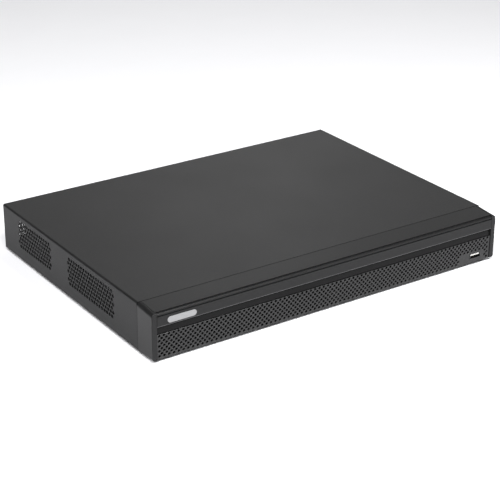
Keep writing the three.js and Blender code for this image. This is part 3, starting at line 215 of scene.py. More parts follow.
FLOAT = "NodeSocketFloat"
COLOUR = "NodeSocketColor"
grain, grain_in, grain_out = new_group(
    "fine_grain",
    [("Grain size", FLOAT, 0.0005), ("Patch size", FLOAT, 0.06)],
    [("Height", FLOAT), ("Mottle", FLOAT)],
)
place = add_node(grain, "TexCoord")
per_metre = add_node(grain, "Math", DIVIDE, Value=1)
patch_per_metre = add_node(grain, "Math", DIVIDE, Value=1)
pips = add_node(grain, "TexNoise", Detail=3, Roughness=0.6)
patches = add_node(grain, "TexNoise", Detail=2)
wire(
    grain,
    (grain_in.outputs["Grain size"], per_metre.inputs[1]),
    (grain_in.outputs["Patch size"], patch_per_metre.inputs[1]),
    (place.outputs["Object"], pips.inputs["Vector"]),
    (place.outputs["Object"], patches.inputs["Vector"]),
    (per_metre.outputs[0], pips.inputs["Scale"]),
    (patch_per_metre.outputs[0], patches.inputs["Scale"]),
    (pips.outputs["Fac"], grain_out.inputs["Height"]),
    (patches.outputs["Fac"], grain_out.inputs["Mottle"]),
)
print("grain group has", len(grain.nodes), "nodes")

# %% [markdown]
# Dust settles on what faces up, in an even haze with a few specks. It is the second shared effect, and
# it mixes a paler grey into the colour.

# %% Dust group
DUST_GREY = (0.3, 0.29, 0.28, 1)
SPECKS_PER_METRE = 420
dust, dust_in, dust_out = new_group(
    "settled_dust",
    [("Colour", COLOUR, (0.05, 0.05, 0.05, 1)), ("Amount", FLOAT, 0.1)],
    [("Colour", COLOUR)],
)
facing = add_node(dust, "NewGeometry")
split = add_node(dust, "SeparateXYZ")
upward = add_node(dust, "MapRange", From_Min=0.3)
specks = add_node(dust, "TexNoise", Scale=SPECKS_PER_METRE, Detail=5)
spots = add_node(dust, "MapRange", From_Min=0.42, From_Max=0.8)
lying = add_node(dust, "Math", MULTIPLY)
amount = add_node(dust, "Math", MULTIPLY)
tint = add_node(dust, "Mix", COLOURS, B=DUST_GREY)
dust_place = add_node(dust, "TexCoord")
wire(
    dust,
    (facing.outputs["Normal"], split.inputs["Vector"]),
    (split.outputs["Z"], upward.inputs["Value"]),
    (dust_place.outputs["Object"], specks.inputs["Vector"]),
    (specks.outputs["Fac"], spots.inputs["Value"]),
    (upward.outputs["Result"], lying.inputs[0]),
    (spots.outputs["Result"], lying.inputs[1]),
    (lying.outputs[0], amount.inputs[0]),
    (dust_in.outputs["Amount"], amount.inputs[1]),
    (amount.outputs[0], tint.inputs["Factor"]),
    (dust_in.outputs["Colour"], tint.inputs["A"]),
    (tint.outputs["Result"], dust_out.inputs["Colour"]),
)


# %% [markdown]
# Every finish is the same short chain: the grain's mottle moves between two colours and two gloss
# values, the dust lies over that, and the grain's height goes through a Bump node. Only values that
# change over the surface are linked. What is the same all over is set on the shader itself.


# %% Finish maker
BLUE_CAST = 1.02


def finish_of(
    name, dark, pale, gloss, grain_size, depth, metallic=0.0, specular=0.5, dusty=0.0, patch=60,
):
    """A material. The sizes of its grain and patches and the grain's depth are in millimetres."""
    made = bpy.data.materials.new(name)
    made.use_nodes = True
    tree = made.node_tree
    shader = tree.nodes["Principled BSDF"]
    shader.inputs["Metallic"].default_value = metallic
    shader.inputs["Specular IOR Level"].default_value = specular
    pattern = add_node(
        tree, "Group", {"node_tree": grain}, Grain_size=grain_size * MM, Patch_size=patch * MM)
    colours = add_node(tree, "Mix", COLOURS, A=(*dark, 1), B=(*pale, 1))
    glosses = add_node(tree, "MapRange", To_Min=gloss[0], To_Max=gloss[1])
    bump = add_node(tree, "Bump", Distance=depth * MM)
    wire(
        tree,
        (pattern.outputs["Mottle"], colours.inputs["Factor"]),
        (pattern.outputs["Mottle"], glosses.inputs["Value"]),
        (pattern.outputs["Height"], bump.inputs["Height"]),
        (glosses.outputs["Result"], shader.inputs["Roughness"]),
        (bump.outputs["Normal"], shader.inputs["Normal"]),
    )
    if dusty:
        haze = add_node(tree, "Group", {"node_tree": dust}, Amount=dusty)
        wire(
            tree,
            (colours.outputs["Result"], haze.inputs["Colour"]),
            (haze.outputs["Colour"], shader.inputs["Base Color"]),
        )
    else:
        wire(tree, (colours.outputs["Result"], shader.inputs["Base Color"]))
    return made


def grey(value):
    return (value, value, value * BLUE_CAST)


powder_coat = finish_of(
    "powder_coat", grey(0.009), grey(0.012), (0.36, 0.44), 0.7, 0.06, specular=0.145, dusty=0.01)
bezel_plastic = finish_of(
    "bezel_plastic", grey(0.009), grey(0.012), (0.32, 0.4), 0.35, 0.02, specular=0.2, dusty=0.008)
smoked_plastic = finish_of(
    "smoked_plastic", grey(0.004), grey(0.007), (0.16, 0.24), 2, 0.002, specular=0.1)
# The bezel's plastic in a paler grey: the extra lightness is a painted highlight on the grille's ridges.
grille_plastic_painted_highlight = finish_of(
    "grille_plastic_painted_highlight", grey(0.016), grey(0.02), (0.32, 0.4), 0.35, 0.015, specular=0.34)
# Near black for the walls of the grille's holes: painted shade inside the holes.
hole_painted_shade = finish_of("hole_painted_shade", grey(0.003), grey(0.005), (0.8, 0.9), 0.5, 0.01, specular=0.1)
# A paler grey for the strip's lower bevel: a painted highlight along the strip's lower edge.
painted_highlight_edge = finish_of("painted_highlight_edge", grey(0.05), grey(0.06), (0.25, 0.35), 0.5, 0.004)
badge_inlay = finish_of("badge_inlay", grey(0.22), grey(0.27), (0.3, 0.4), 0.4, 0.005)
foot_rubber = finish_of("foot_rubber", grey(0.012), grey(0.018), (0.8, 0.95), 0.4, 0.06)
black_plastic = finish_of("black_plastic", grey(0.01), grey(0.016), (0.4, 0.55), 0.3, 0.02)
white_plastic = finish_of("white_plastic", (0.7, 0.69, 0.65), (0.76, 0.75, 0.71), (0.35, 0.5), 0.3, 0.01)
nickel = finish_of(
    "nickel_plate", (0.52, 0.51, 0.48), (0.62, 0.61, 0.58), (0.2, 0.32), 0.3, 0.006, metallic=1.0)
dark_nickel = finish_of("dark_nickel", grey(0.1), grey(0.14), (0.3, 0.4), 0.3, 0.006, metallic=1.0)
gold = finish_of("gold_plate", (0.8, 0.56, 0.22), (0.86, 0.64, 0.3), (0.2, 0.3), 0.3, 0.004, metallic=1.0)
die_cast = finish_of(
    "die_cast", (0.33, 0.34, 0.35), (0.42, 0.43, 0.44), (0.4, 0.55), 0.5, 0.03, metallic=1.0)
pressed_steel = finish_of(
    "pressed_steel", (0.45, 0.45, 0.46), (0.55, 0.55, 0.56), (0.28, 0.4), 0.8, 0.01, metallic=1.0)
solder_mask = finish_of(
    "solder_mask", (0.012, 0.085, 0.035), (0.018, 0.12, 0.05), (0.3, 0.45), 1.5, 0.01, patch=4)
vga_blue = finish_of("vga_blue", (0.02, 0.045, 0.24), (0.03, 0.06, 0.3), (0.4, 0.5), 0.3, 0.01)
terminal_green = finish_of(
    "terminal_green", (0.02, 0.19, 0.06), (0.03, 0.25, 0.09), (0.38, 0.5), 0.3, 0.01)
signal_red = finish_of("signal_red", (0.34, 0.02, 0.015), (0.42, 0.03, 0.02), (0.35, 0.5), 0.3, 0.01)
ribbon_grey = finish_of("ribbon_grey", grey(0.22), grey(0.3), (0.5, 0.6), 0.6, 0.01)
lead_black = finish_of("lead_black", grey(0.012), grey(0.02), (0.45, 0.6), 0.5, 0.02)
lamp_green = finish_of("lamp_green", (0.1, 0.35, 0.08), (0.14, 0.42, 0.1), (0.2, 0.3), 0.5, 0.004)
lamp_amber = finish_of("lamp_amber", (0.5, 0.2, 0.02), (0.6, 0.26, 0.03), (0.2, 0.3), 0.5, 0.004)
floor_paper = finish_of("floor_paper", grey(0.93), grey(0.95), (0.8, 0.9), 4, 0.01, specular=0.1)
studio_floor.data.materials.append(floor_paper)
print("finishes:", len(bpy.data.materials))

# %% [markdown]
# Clear plastic is the one finish that isn't opaque: the light pipe behind the smoked window. It keeps a
# plain Transmission Weight, and its gloss changes a little with the grain.

# %% Clear plastic
clear_plastic = finish_of("clear_plastic", grey(0.8), grey(0.85), (0.05, 0.15), 1, 0.003)
clear_plastic.node_tree.nodes["Principled BSDF"].inputs["Transmission Weight"].default_value = 0.9


# %% [markdown]
# ## The workbench
# These helpers are the operations that a modeller repeats by hand: add a block or a turned piece,
# choose edges by their place and bevel them, cut one piece with another, soften what is left. A
# finished piece keeps its place in its mesh, so its object sits at the origin.


# %% Selecting and applying
def pick(*pieces):
    bpy.ops.object.select_all(action="DESELECT")
    for piece in pieces:
        piece.select_set(True)
    bpy.context.view_layer.objects.active = pieces[0]


def settle(piece, name):
    piece.name = name
    pick(piece)
    bpy.ops.object.transform_apply(location=True, rotation=True, scale=True)
    return piece


def apply_modifier(piece, kind, **settings):
    modifier = piece.modifiers.new("step", kind)
    for setting, value in settings.items():
        setattr(modifier, setting, value)
    pick(piece)
    bpy.ops.object.modifier_apply(modifier=modifier.name)


def repeat(piece, count, step):
    apply_modifier(
        piece, "ARRAY", count=count, use_relative_offset=False, use_constant_offset=True,
        constant_offset_displace=step)


# %% Blocks, turned pieces and copies
def block(name, low, high):
    middle = [(a + b) / 2 for a, b in zip(low, high)]
    bpy.ops.mesh.primitive_cube_add(size=1, location=middle)
    piece = bpy.context.object
    piece.scale = [b - a for a, b in zip(low, high)]
    return settle(piece, name)


def block_at(name, x, z, width, height, y0, y1):
    return block(name, (x - width / 2, y0, z - height / 2), (x + width / 2, y1, z + height / 2))


AXIS_TURN = {
    "X": Matrix.Rotation(math.radians(90), 4, "Y"),
    "Y": Matrix.Rotation(math.radians(-90), 4, "X"),
    "-Y": Matrix.Rotation(math.radians(90), 4, "X"),
    "Z": Matrix.Identity(4),
    "-Z": Matrix.Rotation(math.radians(180), 4, "X"),
}


def in_mm(*profile):
    return [(radius * MM, distance * MM) for radius, distance in profile]


def straight(radius, length):
    """The profile of a plain bar or hole."""
    return [(radius, 0), (radius, length)]


def turned(name, at, axis, profile, sides=28):
    """A disc that is extruded from (radius, distance) to (radius, distance) along its axis."""
    radius, distance = profile[0]
    bpy.ops.mesh.primitive_circle_add(
        vertices=sides, radius=radius, fill_type="NGON", location=(0, 0, distance))
    piece = settle(bpy.context.object, name)
    bpy.ops.object.mode_set(mode="EDIT")
    bpy.ops.mesh.select_all(action="SELECT")
    for next_radius, next_distance in profile[1:]:
        step = (0, 0, next_distance - distance)
        bpy.ops.mesh.extrude_region_move(TRANSFORM_OT_translate={"value": step})
        ratio = next_radius / radius
        bpy.ops.transform.resize(value=(ratio, ratio, 1), center_override=(0, 0, next_distance))
        radius, distance = next_radius, next_distance
    bpy.ops.mesh.select_all(action="SELECT")
    bpy.ops.mesh.normals_make_consistent(inside=False)
    bpy.ops.object.mode_set(mode="OBJECT")
    piece.data.transform(Matrix.Translation(at) @ AXIS_TURN[axis])
    return piece


def copy_of(piece, name, move):
    pick(piece)
    bpy.ops.object.duplicate(linked=False)
    twin = bpy.context.object
    twin.name = name
    twin.data.transform(move)
    return twin


# %% Choosing, bevelling, cutting and joining
def select_where(piece, kind, wanted):
    """Selects the corners or the edges that pass the test, and stays in edit mode."""
    pick(piece)
    bpy.ops.object.mode_set(mode="EDIT")
    bpy.ops.mesh.select_mode(type=kind)
    bpy.ops.mesh.select_all(action="DESELECT")
    bpy.ops.object.mode_set(mode="OBJECT")
    corners = piece.data.vertices
    if kind == "VERT":
        for corner in corners:
            corner.select = wanted(corner.co)
    else:
        for edge in piece.data.edges:
            edge.select = wanted(corners[edge.vertices[0]].co, corners[edge.vertices[1]].co)
    bpy.ops.object.mode_set(mode="EDIT")


def bevel_where(piece, wanted, width, segments=3):
    select_where(piece, "EDGE", wanted)
    bpy.ops.mesh.bevel(offset=width, segments=segments, affect="EDGES")
    bpy.ops.object.mode_set(mode="OBJECT")


def nudge(piece, wanted, move):
    """Moves the corners that pass the test."""
    select_where(piece, "VERT", wanted)
    bpy.ops.transform.translate(value=move)
    bpy.ops.object.mode_set(mode="OBJECT")


def running(axis, over):
    """Picks the edges that run along an axis for more than a length."""
    index = "xyz".index(axis)
    return lambda a, b: abs(a[index] - b[index]) > over


def combine(piece, others, operation):
    for other in others:
        apply_modifier(piece, "BOOLEAN", operation=operation, solver="MANIFOLD", object=other)
        bpy.data.objects.remove(other)
    return piece


def cut(piece, *others):
    return combine(piece, others, "DIFFERENCE")


def fuse(piece, *others):
    return combine(piece, others, "UNION")


def gather(name, *pieces):
    pick(*pieces)
    bpy.ops.object.join()
    bpy.context.object.name = name
    return bpy.context.object


def smooth(piece, angle=35):
    """Smooth shading in which the large faces stay flat up to their edges."""
    pick(piece)
    bpy.ops.object.shade_smooth_by_angle(angle=math.radians(angle))
    apply_modifier(piece, "WEIGHTED_NORMAL", mode="FACE_AREA", weight=50, keep_sharp=True)
    return piece


def soften(piece, width, segments=2, angle=35):
    apply_modifier(
        piece, "BEVEL", width=width, segments=segments, limit_method="ANGLE",
        angle_limit=math.radians(angle), use_clamp_overlap=True)
    return smooth(piece, angle)


def painted(piece, material):
    piece.data.materials.clear()
    piece.data.materials.append(material)
    return piece


def finished(piece, material, width, segments=2):
    return painted(soften(piece, width, segments), material)


def paint_where(piece, material, wanted):
    """Gives a second material to the faces whose middles pass the test."""
    piece.data.materials.append(material)
    index = len(piece.data.materials) - 1
    for face in piece.data.polygons:
        if wanted(face.center):
            face.material_index = index
    return piece


def place_on(piece, body, slot, *nodes):
    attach(piece, body)
    if nodes:
        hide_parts(*nodes)
    return piece


# %% [markdown]
# ## The cover
# The cover is one sheet, folded down at both sides and painted. A block is bevelled along its two long
# upper edges, and a smaller block takes the inside away, so the wall is one sheet thick all round. The
# vents are punched: one round punch is repeated by two Array modifiers, and the whole set is cut in one
# go. Every second row is one hole longer and sits half a pitch further out, as in a honeycomb.

# %% Cover sheet
BEND = 1.8 * MM
VENT_ROW_PITCH = 3.98 * MM
VENT_PITCH = 4.45 * MM
VENT_HOLE_R = 1.8 * MM
VENT_TOP = 7.1 * MM
VENTS = (  # start from the seam, holes
    (42.7 * MM, 18),
    (COVER_HIGH[1] - COVER_LOW[1] - 92.3 * MM, 14),
)
TAB_WIDTH = 13 * MM
TAB_HEIGHT = 8.5 * MM
TAB_CORNER = 2 * MM
TAB_HOLE_R = 1.8 * MM
TAB_SCREWS = [middle_of(f"cover_screw_{i}") for i in (1, 2, 3)]


def punch_rows(first_row, rows, start, holes):
    """A set of punches through both sides, for every second row."""
    z = COVER_HIGH[2] - VENT_TOP - first_row * VENT_ROW_PITCH
    y = COVER_LOW[1] + start
    reach = COVER_HIGH[0] - COVER_LOW[0] + 4 * MM
    punch = turned("punch", (COVER_LOW[0] - 2 * MM, y, z), "X", straight(VENT_HOLE_R, reach), 12)
    repeat(punch, holes, (0, VENT_PITCH, 0))
    repeat(punch, rows, (0, 0, -2 * VENT_ROW_PITCH))
    return punch


def make_cover():
    sheet = block("cover_sheet", COVER_LOW, COVER_HIGH)
    top = COVER_HIGH[2] - MM
    bevel_where(sheet, lambda a, b: min(a.z, b.z) > top and abs(a.x - b.x) < MM, BEND, 5)
    low = (COVER_LOW[0] + SHEET, COVER_LOW[1] - MM, COVER_LOW[2] - MM)
    room = block("room", low, (COVER_HIGH[0] - SHEET, COVER_HIGH[1] + MM, COVER_HIGH[2] - SHEET))
    bevel_where(room, lambda a, b: min(a.z, b.z) > top - SHEET and abs(a.x - b.x) < MM, BEND - SHEET, 3)
    cut(sheet, room)
    for screw in TAB_SCREWS:
        low = (screw.x - TAB_WIDTH / 2, COVER_HIGH[1] - SHEET, COVER_HIGH[2] - TAB_HEIGHT)
        tab = block("tab", low, (screw.x + TAB_WIDTH / 2, COVER_HIGH[1], COVER_HIGH[2] - SHEET / 2))
        lower = lambda a, b: max(a.z, b.z) < top - 4 * MM and abs(a.y - b.y) > 0.5 * SHEET
        bevel_where(tab, lower, TAB_CORNER, 4)
        fuse(sheet, tab)
        at = (screw.x, COVER_HIGH[1] - 2 * SHEET, screw.z)
        cut(sheet, turned("hole", at, "Y", straight(TAB_HOLE_R, 4 * SHEET), 20))
    for start, holes in VENTS:
        cut(sheet, punch_rows(0, 4, start, holes))
        cut(sheet, punch_rows(1, 3, start - VENT_PITCH / 2, holes + 1))
    return sheet


cover = make_cover()
smooth(cover, 40)
painted(cover, powder_coat)
place_on(cover, "case", "dark_paint", "top_cover")
print("cover faces:", len(cover.data.polygons))

# %% [markdown]
# ## The bezel
# The bezel is one hollow moulding. Its top falls towards the front and its bottom rises. Its upright
# corners are crisp. The long shoulders at both sides are round, and so are its lower side edges and the
# front edge of the top. A block takes all of that by moving and bevelling its edges. The inside and the
# mouth that the fascia fills are cut out, and two fine grooves run along the top beside the shoulders.

# %% Bezel moulding
BEZEL_WALL = 2.2 * MM
BEZEL_TOP_DROP = 1.8 * MM
BEZEL_BOTTOM_RISE = 2.0 * MM
BEZEL_CORNER = 0.9 * MM
BEZEL_SHOULDER = 3.4 * MM
BEZEL_CROWN = 1.0 * MM
BEZEL_LOWER_EDGE = 2.5 * MM
MOUTH_DEPTH = 3 * MM
FASCIA_GAP = 0.3 * MM
CHEEK_GROOVE_FROM_END = 4.2 * MM
GROOVE_WIDTH = 0.5 * MM
GROOVE_DEPTH = 0.45 * MM
FRONT = BEZEL_LOW[1]


def sloped_block(name, low, high):
    """A block whose front edge is lower at the top and higher at the bottom."""
    piece = block(name, low, high)
    near = low[1] + MM
    middle = (low[2] + high[2]) / 2
    share = (high[1] - low[1]) / (BEZEL_HIGH[1] - FRONT)
    nudge(piece, lambda co: co.y < near and co.z > middle, (0, 0, -BEZEL_TOP_DROP * share))
    nudge(piece, lambda co: co.y < near and co.z < middle, (0, 0, BEZEL_BOTTOM_RISE * share))
    return piece


def make_bezel():
    moulding = sloped_block("bezel_moulding", BEZEL_LOW, BEZEL_HIGH)
    crown = BEZEL_HIGH[2] - 6 * MM
    along = lambda a, b: min(a.z, b.z) > crown and abs(a.y - b.y) > 10 * MM
    bevel_where(moulding, along, BEZEL_SHOULDER, 6)
    keel = BEZEL_LOW[2] + 5 * MM
    under = lambda a, b: max(a.z, b.z) < keel and abs(a.y - b.y) > 10 * MM
    bevel_where(moulding, under, BEZEL_LOWER_EDGE, 4)
    front_edge = lambda a, b: min(a.z, b.z) > crown and max(a.y, b.y) < FRONT + MM
    bevel_where(moulding, front_edge, BEZEL_CROWN, 5)
    upright = lambda a, b: max(a.y, b.y) < FRONT + MM and abs(a.z - b.z) > 10 * MM
    bevel_where(moulding, upright, BEZEL_CORNER, 4)
    wall = Vector((BEZEL_WALL, BEZEL_WALL, BEZEL_WALL))
    high = BEZEL_HIGH - wall
    high[1] = BEZEL_HIGH[1] + MM
    cut(moulding, sloped_block("room", BEZEL_LOW + wall, high))
    half = GRILLE_HIGH[0] + FASCIA_GAP
    cut(moulding, block("mouth", (-half, FRONT - MM, 0), (half, FRONT + MOUTH_DEPTH, BEZEL_HIGH[2] + MM)))
    for side in (-1, 1):
        x = side * (BEZEL_HIGH[0] - CHEEK_GROOVE_FROM_END)
        low = (x - GROOVE_WIDTH / 2, FRONT + 2 * MM, BEZEL_HIGH[2] - GROOVE_DEPTH)
        groove = block("groove", low, (x + GROOVE_WIDTH / 2, BEZEL_HIGH[1] + MM, BEZEL_HIGH[2] + 2 * MM))
        nudge(groove, lambda co: co.y < FRONT + 4 * MM, (0, 0, -BEZEL_TOP_DROP))
        cut(moulding, groove)
    return soften(moulding, 0.25 * MM)


bezel = painted(make_bezel(), bezel_plastic)
place_on(bezel, "case", "bezel_plastic", "bezel_frame")
print("bezel faces:", len(bezel.data.polygons))

# %% [markdown]
# The strip over the window carries a round bead along its top. The bead is a turned bar that is fused
# to a flat bar behind it, and a shallow cut parts it from the strip with a dark line. The strip's lower
# edge has a larger bevel than the rest, and that bevel is painted a paler grey than the strip: a painted
# highlight that draws the bright line across the front.

# %% Fascia strip
STRIP_LOW, STRIP_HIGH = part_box("fascia_strip")
BEAD_R = 1.5 * MM
BEAD_SET_BACK = 0.4 * MM
LINE_HEIGHT = 1.0 * MM
LINE_DEPTH = 1.0 * MM
STRIP_SILL = 0.9 * MM


def make_strip():
    bead_z = STRIP_HIGH[2] - BEAD_R
    strip = block("fascia_bar", STRIP_LOW, (STRIP_HIGH[0], STRIP_HIGH[1], bead_z - BEAD_R))
    low = (STRIP_LOW[0], FRONT + LINE_DEPTH, STRIP_LOW[2] + 5 * MM)
    fuse(strip, block("back", low, (STRIP_HIGH[0], STRIP_HIGH[1], STRIP_HIGH[2] - 0.3 * MM)))
    low = (STRIP_LOW[0], FRONT + BEAD_SET_BACK, bead_z - BEAD_R + LINE_HEIGHT)
    fuse(strip, block("ledge", low, (STRIP_HIGH[0], STRIP_HIGH[1] - 0.2 * MM, bead_z)))
    length = STRIP_HIGH[0] - STRIP_LOW[0]
    bead_y = FRONT + BEAD_SET_BACK + BEAD_R
    fuse(strip, turned("bead", (STRIP_LOW[0], bead_y, bead_z), "X", straight(BEAD_R, length), 32))
    sill = STRIP_LOW[2] + 0.1 * MM
    face = FRONT + 0.1 * MM
    bevel_where(strip, lambda a, b: max(a.z, b.z) < sill and max(a.y, b.y) < face, STRIP_SILL, 4)
    return soften(strip, 0.15 * MM)


strip = painted(make_strip(), bezel_plastic)
# The strip's lower bevel is painted a paler grey: a painted highlight.
sill_top = STRIP_LOW[2] + STRIP_SILL
sill_back = FRONT + STRIP_SILL - 0.02 * MM
paint_where(strip, painted_highlight_edge, lambda co: co.z < sill_top and co.y < sill_back)
place_on(strip, "case", "bezel_plastic", "fascia_strip")

# %% [markdown]
# The window is a bar of smoked plastic, set back under the strip so that it lies in shadow. Its face
# leans back a little from its lower edge. The badge on the strip is a plain pale lozenge: a block whose
# four upright corners are bevelled until its ends are round.

# %% Window and badge
WINDOW_LEAN = 0.5 * MM
window_low, window_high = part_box("indicator_window")
window = block("smoked_strip", window_low, window_high)
upper_edge = lambda co: co.y < window_low[1] + 0.1 * MM and co.z > window_high[2] - MM
nudge(window, upper_edge, (0, WINDOW_LEAN, 0))
soften(window, 0.2 * MM)
place_on(painted(window, smoked_plastic), "case", "smoked_window", "indicator_window")

badge_low, badge_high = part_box("badge_plate")
badge = block("badge_lozenge", badge_low, badge_high)
ROUND_END = (badge_high[2] - badge_low[2]) / 2 - 0.02 * MM
bevel_where(badge, running("y", 0.3 * MM), ROUND_END, 10)
soften(badge, 0.18 * MM)
place_on(painted(badge, badge_inlay), "case", "badge_ink", "badge_plate")

# %% [markdown]
# ## The grille
# The lower half of the front is full of small holes on a diagonal lattice. Each hole has a funnel at
# its mouth, which leaves a fine net of ridges between the holes. One punch of eight sides is repeated
# by Array modifiers, row after row, and every second row is shifted by half a pitch. The lower rows
# stop at both sides of the socket, where the panel is smooth. The grille is a paler grey than the
# bezel, a painted highlight on its ridges, and the walls of the holes are painted near black, as
# painted shade.

# %% Grille panel
HOLE_ROWS = 9
HOLE_ROW_PITCH = 2.35 * MM
HOLE_PITCH = 4.67 * MM
HOLE_MOUTH_R = 1.5 * MM
HOLE_R = 1.22 * MM
FUNNEL_DEPTH = 0.35 * MM
FIRST_HOLE_X = -180.3 * MM
TOP_ROW = 20.6 * MM  # over the bottom of the case
SMOOTH_ROWS = 4
SMOOTH_LOW_X = 146 * MM
SMOOTH_HIGH_X = 174.8 * MM
socket_at = middle_of("front_usb_port")
USB_WIDTH, _, USB_HEIGHT = (h - l for l, h in zip(*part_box("front_usb_port")))
USB_ROOM = 0.6 * MM
GRILLE_EDGE = 0.35 * MM


def row_of_punches(row, low_x, high_x):
    """The punches of one row whose middles lie between two places."""
    start = FIRST_HOLE_X + (row % 2) * HOLE_PITCH / 2
    first = max(0, math.ceil((low_x - start) / HOLE_PITCH))
    last = math.floor((min(high_x, -FIRST_HOLE_X + 0.1 * MM) - start) / HOLE_PITCH)
    z = COVER_LOW[2] + TOP_ROW - row * HOLE_ROW_PITCH
    at = (start + first * HOLE_PITCH, GRILLE_LOW[1] - 0.1 * MM, z)
    profile = [(HOLE_MOUTH_R, 0), (HOLE_R, FUNNEL_DEPTH), (HOLE_R, 3 * MM)]
    punches = turned("punch", at, "Y", profile, 8)
    repeat(punches, last - first + 1, (HOLE_PITCH, 0, 0))
    return punches


def make_grille():
    panel = block("grille_panel", GRILLE_LOW, GRILLE_HIGH)
    face = GRILLE_LOW[1] + 0.1 * MM
    bevel_where(panel, lambda a, b: max(a.y, b.y) < face and abs(a.z - b.z) < MM, GRILLE_EDGE, 3)
    spans = []
    for row in range(HOLE_ROWS):
        if row < HOLE_ROWS - SMOOTH_ROWS:
            spans.append((row, FIRST_HOLE_X - MM, -FIRST_HOLE_X + MM))
        else:
            spans.append((row, FIRST_HOLE_X - MM, SMOOTH_LOW_X))
            spans.append((row, SMOOTH_HIGH_X, -FIRST_HOLE_X + MM))
    cut(panel, gather("punches", *[row_of_punches(*span) for span in spans]))
    width = USB_WIDTH + USB_ROOM
    height = USB_HEIGHT + USB_ROOM
    cut(panel, block_at("opening", socket_at.x, socket_at.z, width, height, FRONT - MM, FRONT + 5 * MM))
    return smooth(panel, 25)


# The grille is painted a paler grey than the bezel: a painted highlight on its net of ridges.
grille = painted(make_grille(), grille_plastic_painted_highlight)
# The walls of the holes behind their funnels are painted near black: painted shade inside the holes.
hole_start = GRILLE_LOW[1] + 0.95 * FUNNEL_DEPTH
hole_end = GRILLE_HIGH[1] - 0.1 * MM
end_wall = GRILLE_HIGH[0] - 0.1 * MM
paint_where(grille, hole_painted_shade, lambda co: hole_start < co.y < hole_end and abs(co.x) < end_wall)
place_on(grille, "case", "bezel_plastic", "front_grille")
print("grille faces:", len(grille.data.polygons))

# %% [markdown]
# ## USB and HDMI sockets
# These sockets are folded from one strip of plated steel round a plastic tongue with gold contacts. The
# shell is a bevelled block with its inside cut out, and the tongue sits off its middle.


# %% Folded sockets
def folded_socket(name, node, towards, tongue_lift, tongue_finish, contacts, corner, shell_finish):
    low, high, at = seat_of(node)
    width = high[0] - low[0]
    height = high[2] - low[2]
    wall = 0.45 * MM
    mouth = low[1] if towards < 0 else high[1]
    inward = -towards * MM
    span = lambda a, b: sorted((mouth + a * inward, mouth + b * inward))
    shell = block(name, low, high)
    low_edge = lambda a, b: abs(a.y - b.y) > 5 * MM and max(a.z, b.z) < at.z
    if corner:
        bevel_where(shell, low_edge, corner, 3)
    bevel_where(shell, running("y", 5 * MM), 0.4 * MM, 3)
    room = block_at("room", at.x, at.z, width - 2 * wall, height - 2 * wall, *span(-1, 12))
    if corner:
        bevel_where(room, low_edge, corner, 3)
    cut(shell, room)
    soften(shell, 0.12 * MM)
    painted(shell, shell_finish)
    tongue_z = at.z + tongue_lift
    tongue = block_at(name + "_tongue", at.x, tongue_z, width - 4 * wall, 1.6 * MM, *span(1, 12.5))
    finished(tongue, tongue_finish, 0.2 * MM)
    pieces = [shell, tongue]
    side = -1 if tongue_lift > 0 else 1
    pitch = (width - 4 * wall) / contacts
    for contact in range(contacts):
        x = at.x + (contact - (contacts - 1) / 2) * pitch
        z = tongue_z + side * 0.85 * MM
        blade = block_at("contact", x, z, 0.45 * pitch, 0.25 * MM, *span(1.6, 10))
        pieces.append(finished(blade, gold, 0.05 * MM))
    whole = gather(name, *pieces)
    return place_on(whole, "case", "nickel", node)


folded_socket("front_usb_socket", "front_usb_port", -1, 0.9 * MM, white_plastic, 4, 0, dark_nickel)
folded_socket("rear_usb_socket", "rear_usb_port", 1, -0.9 * MM, black_plastic, 4, 0, nickel)
folded_socket("hdmi_socket", "hdmi_port", 1, 0.3 * MM, black_plastic, 9, 1.3 * MM, nickel)

# %% [markdown]
# ## Bayonet sockets for the camera cables
# Eight camera cables plug in at the rear, in two rows of four. Each socket is a turned barrel with a
# fine thread, a washer and a hex nut against the panel, two bayonet lugs and a white insulator round a
# gold contact. One socket is modelled at the origin, its axis along Y and the panel's face at zero. The
# other seven are copies with meshes of their own.

# %% Bayonet socket
BNC_LOW, BNC_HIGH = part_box("bnc_socket_1")
BNC_REACH = BNC_HIGH[1] - REAR_FACE
BNC_BODY_DEPTH = 12 * MM
BNC_BARREL_R = 4.8 * MM
BNC_BORE_R = 4.0 * MM
BNC_BORE_FLOOR = 1.2 * MM
THREAD_PITCH = 0.55 * MM
THREAD_TURNS = 5
PANEL_THICKNESS = PANEL_HIGH[1] - PANEL_LOW[1]


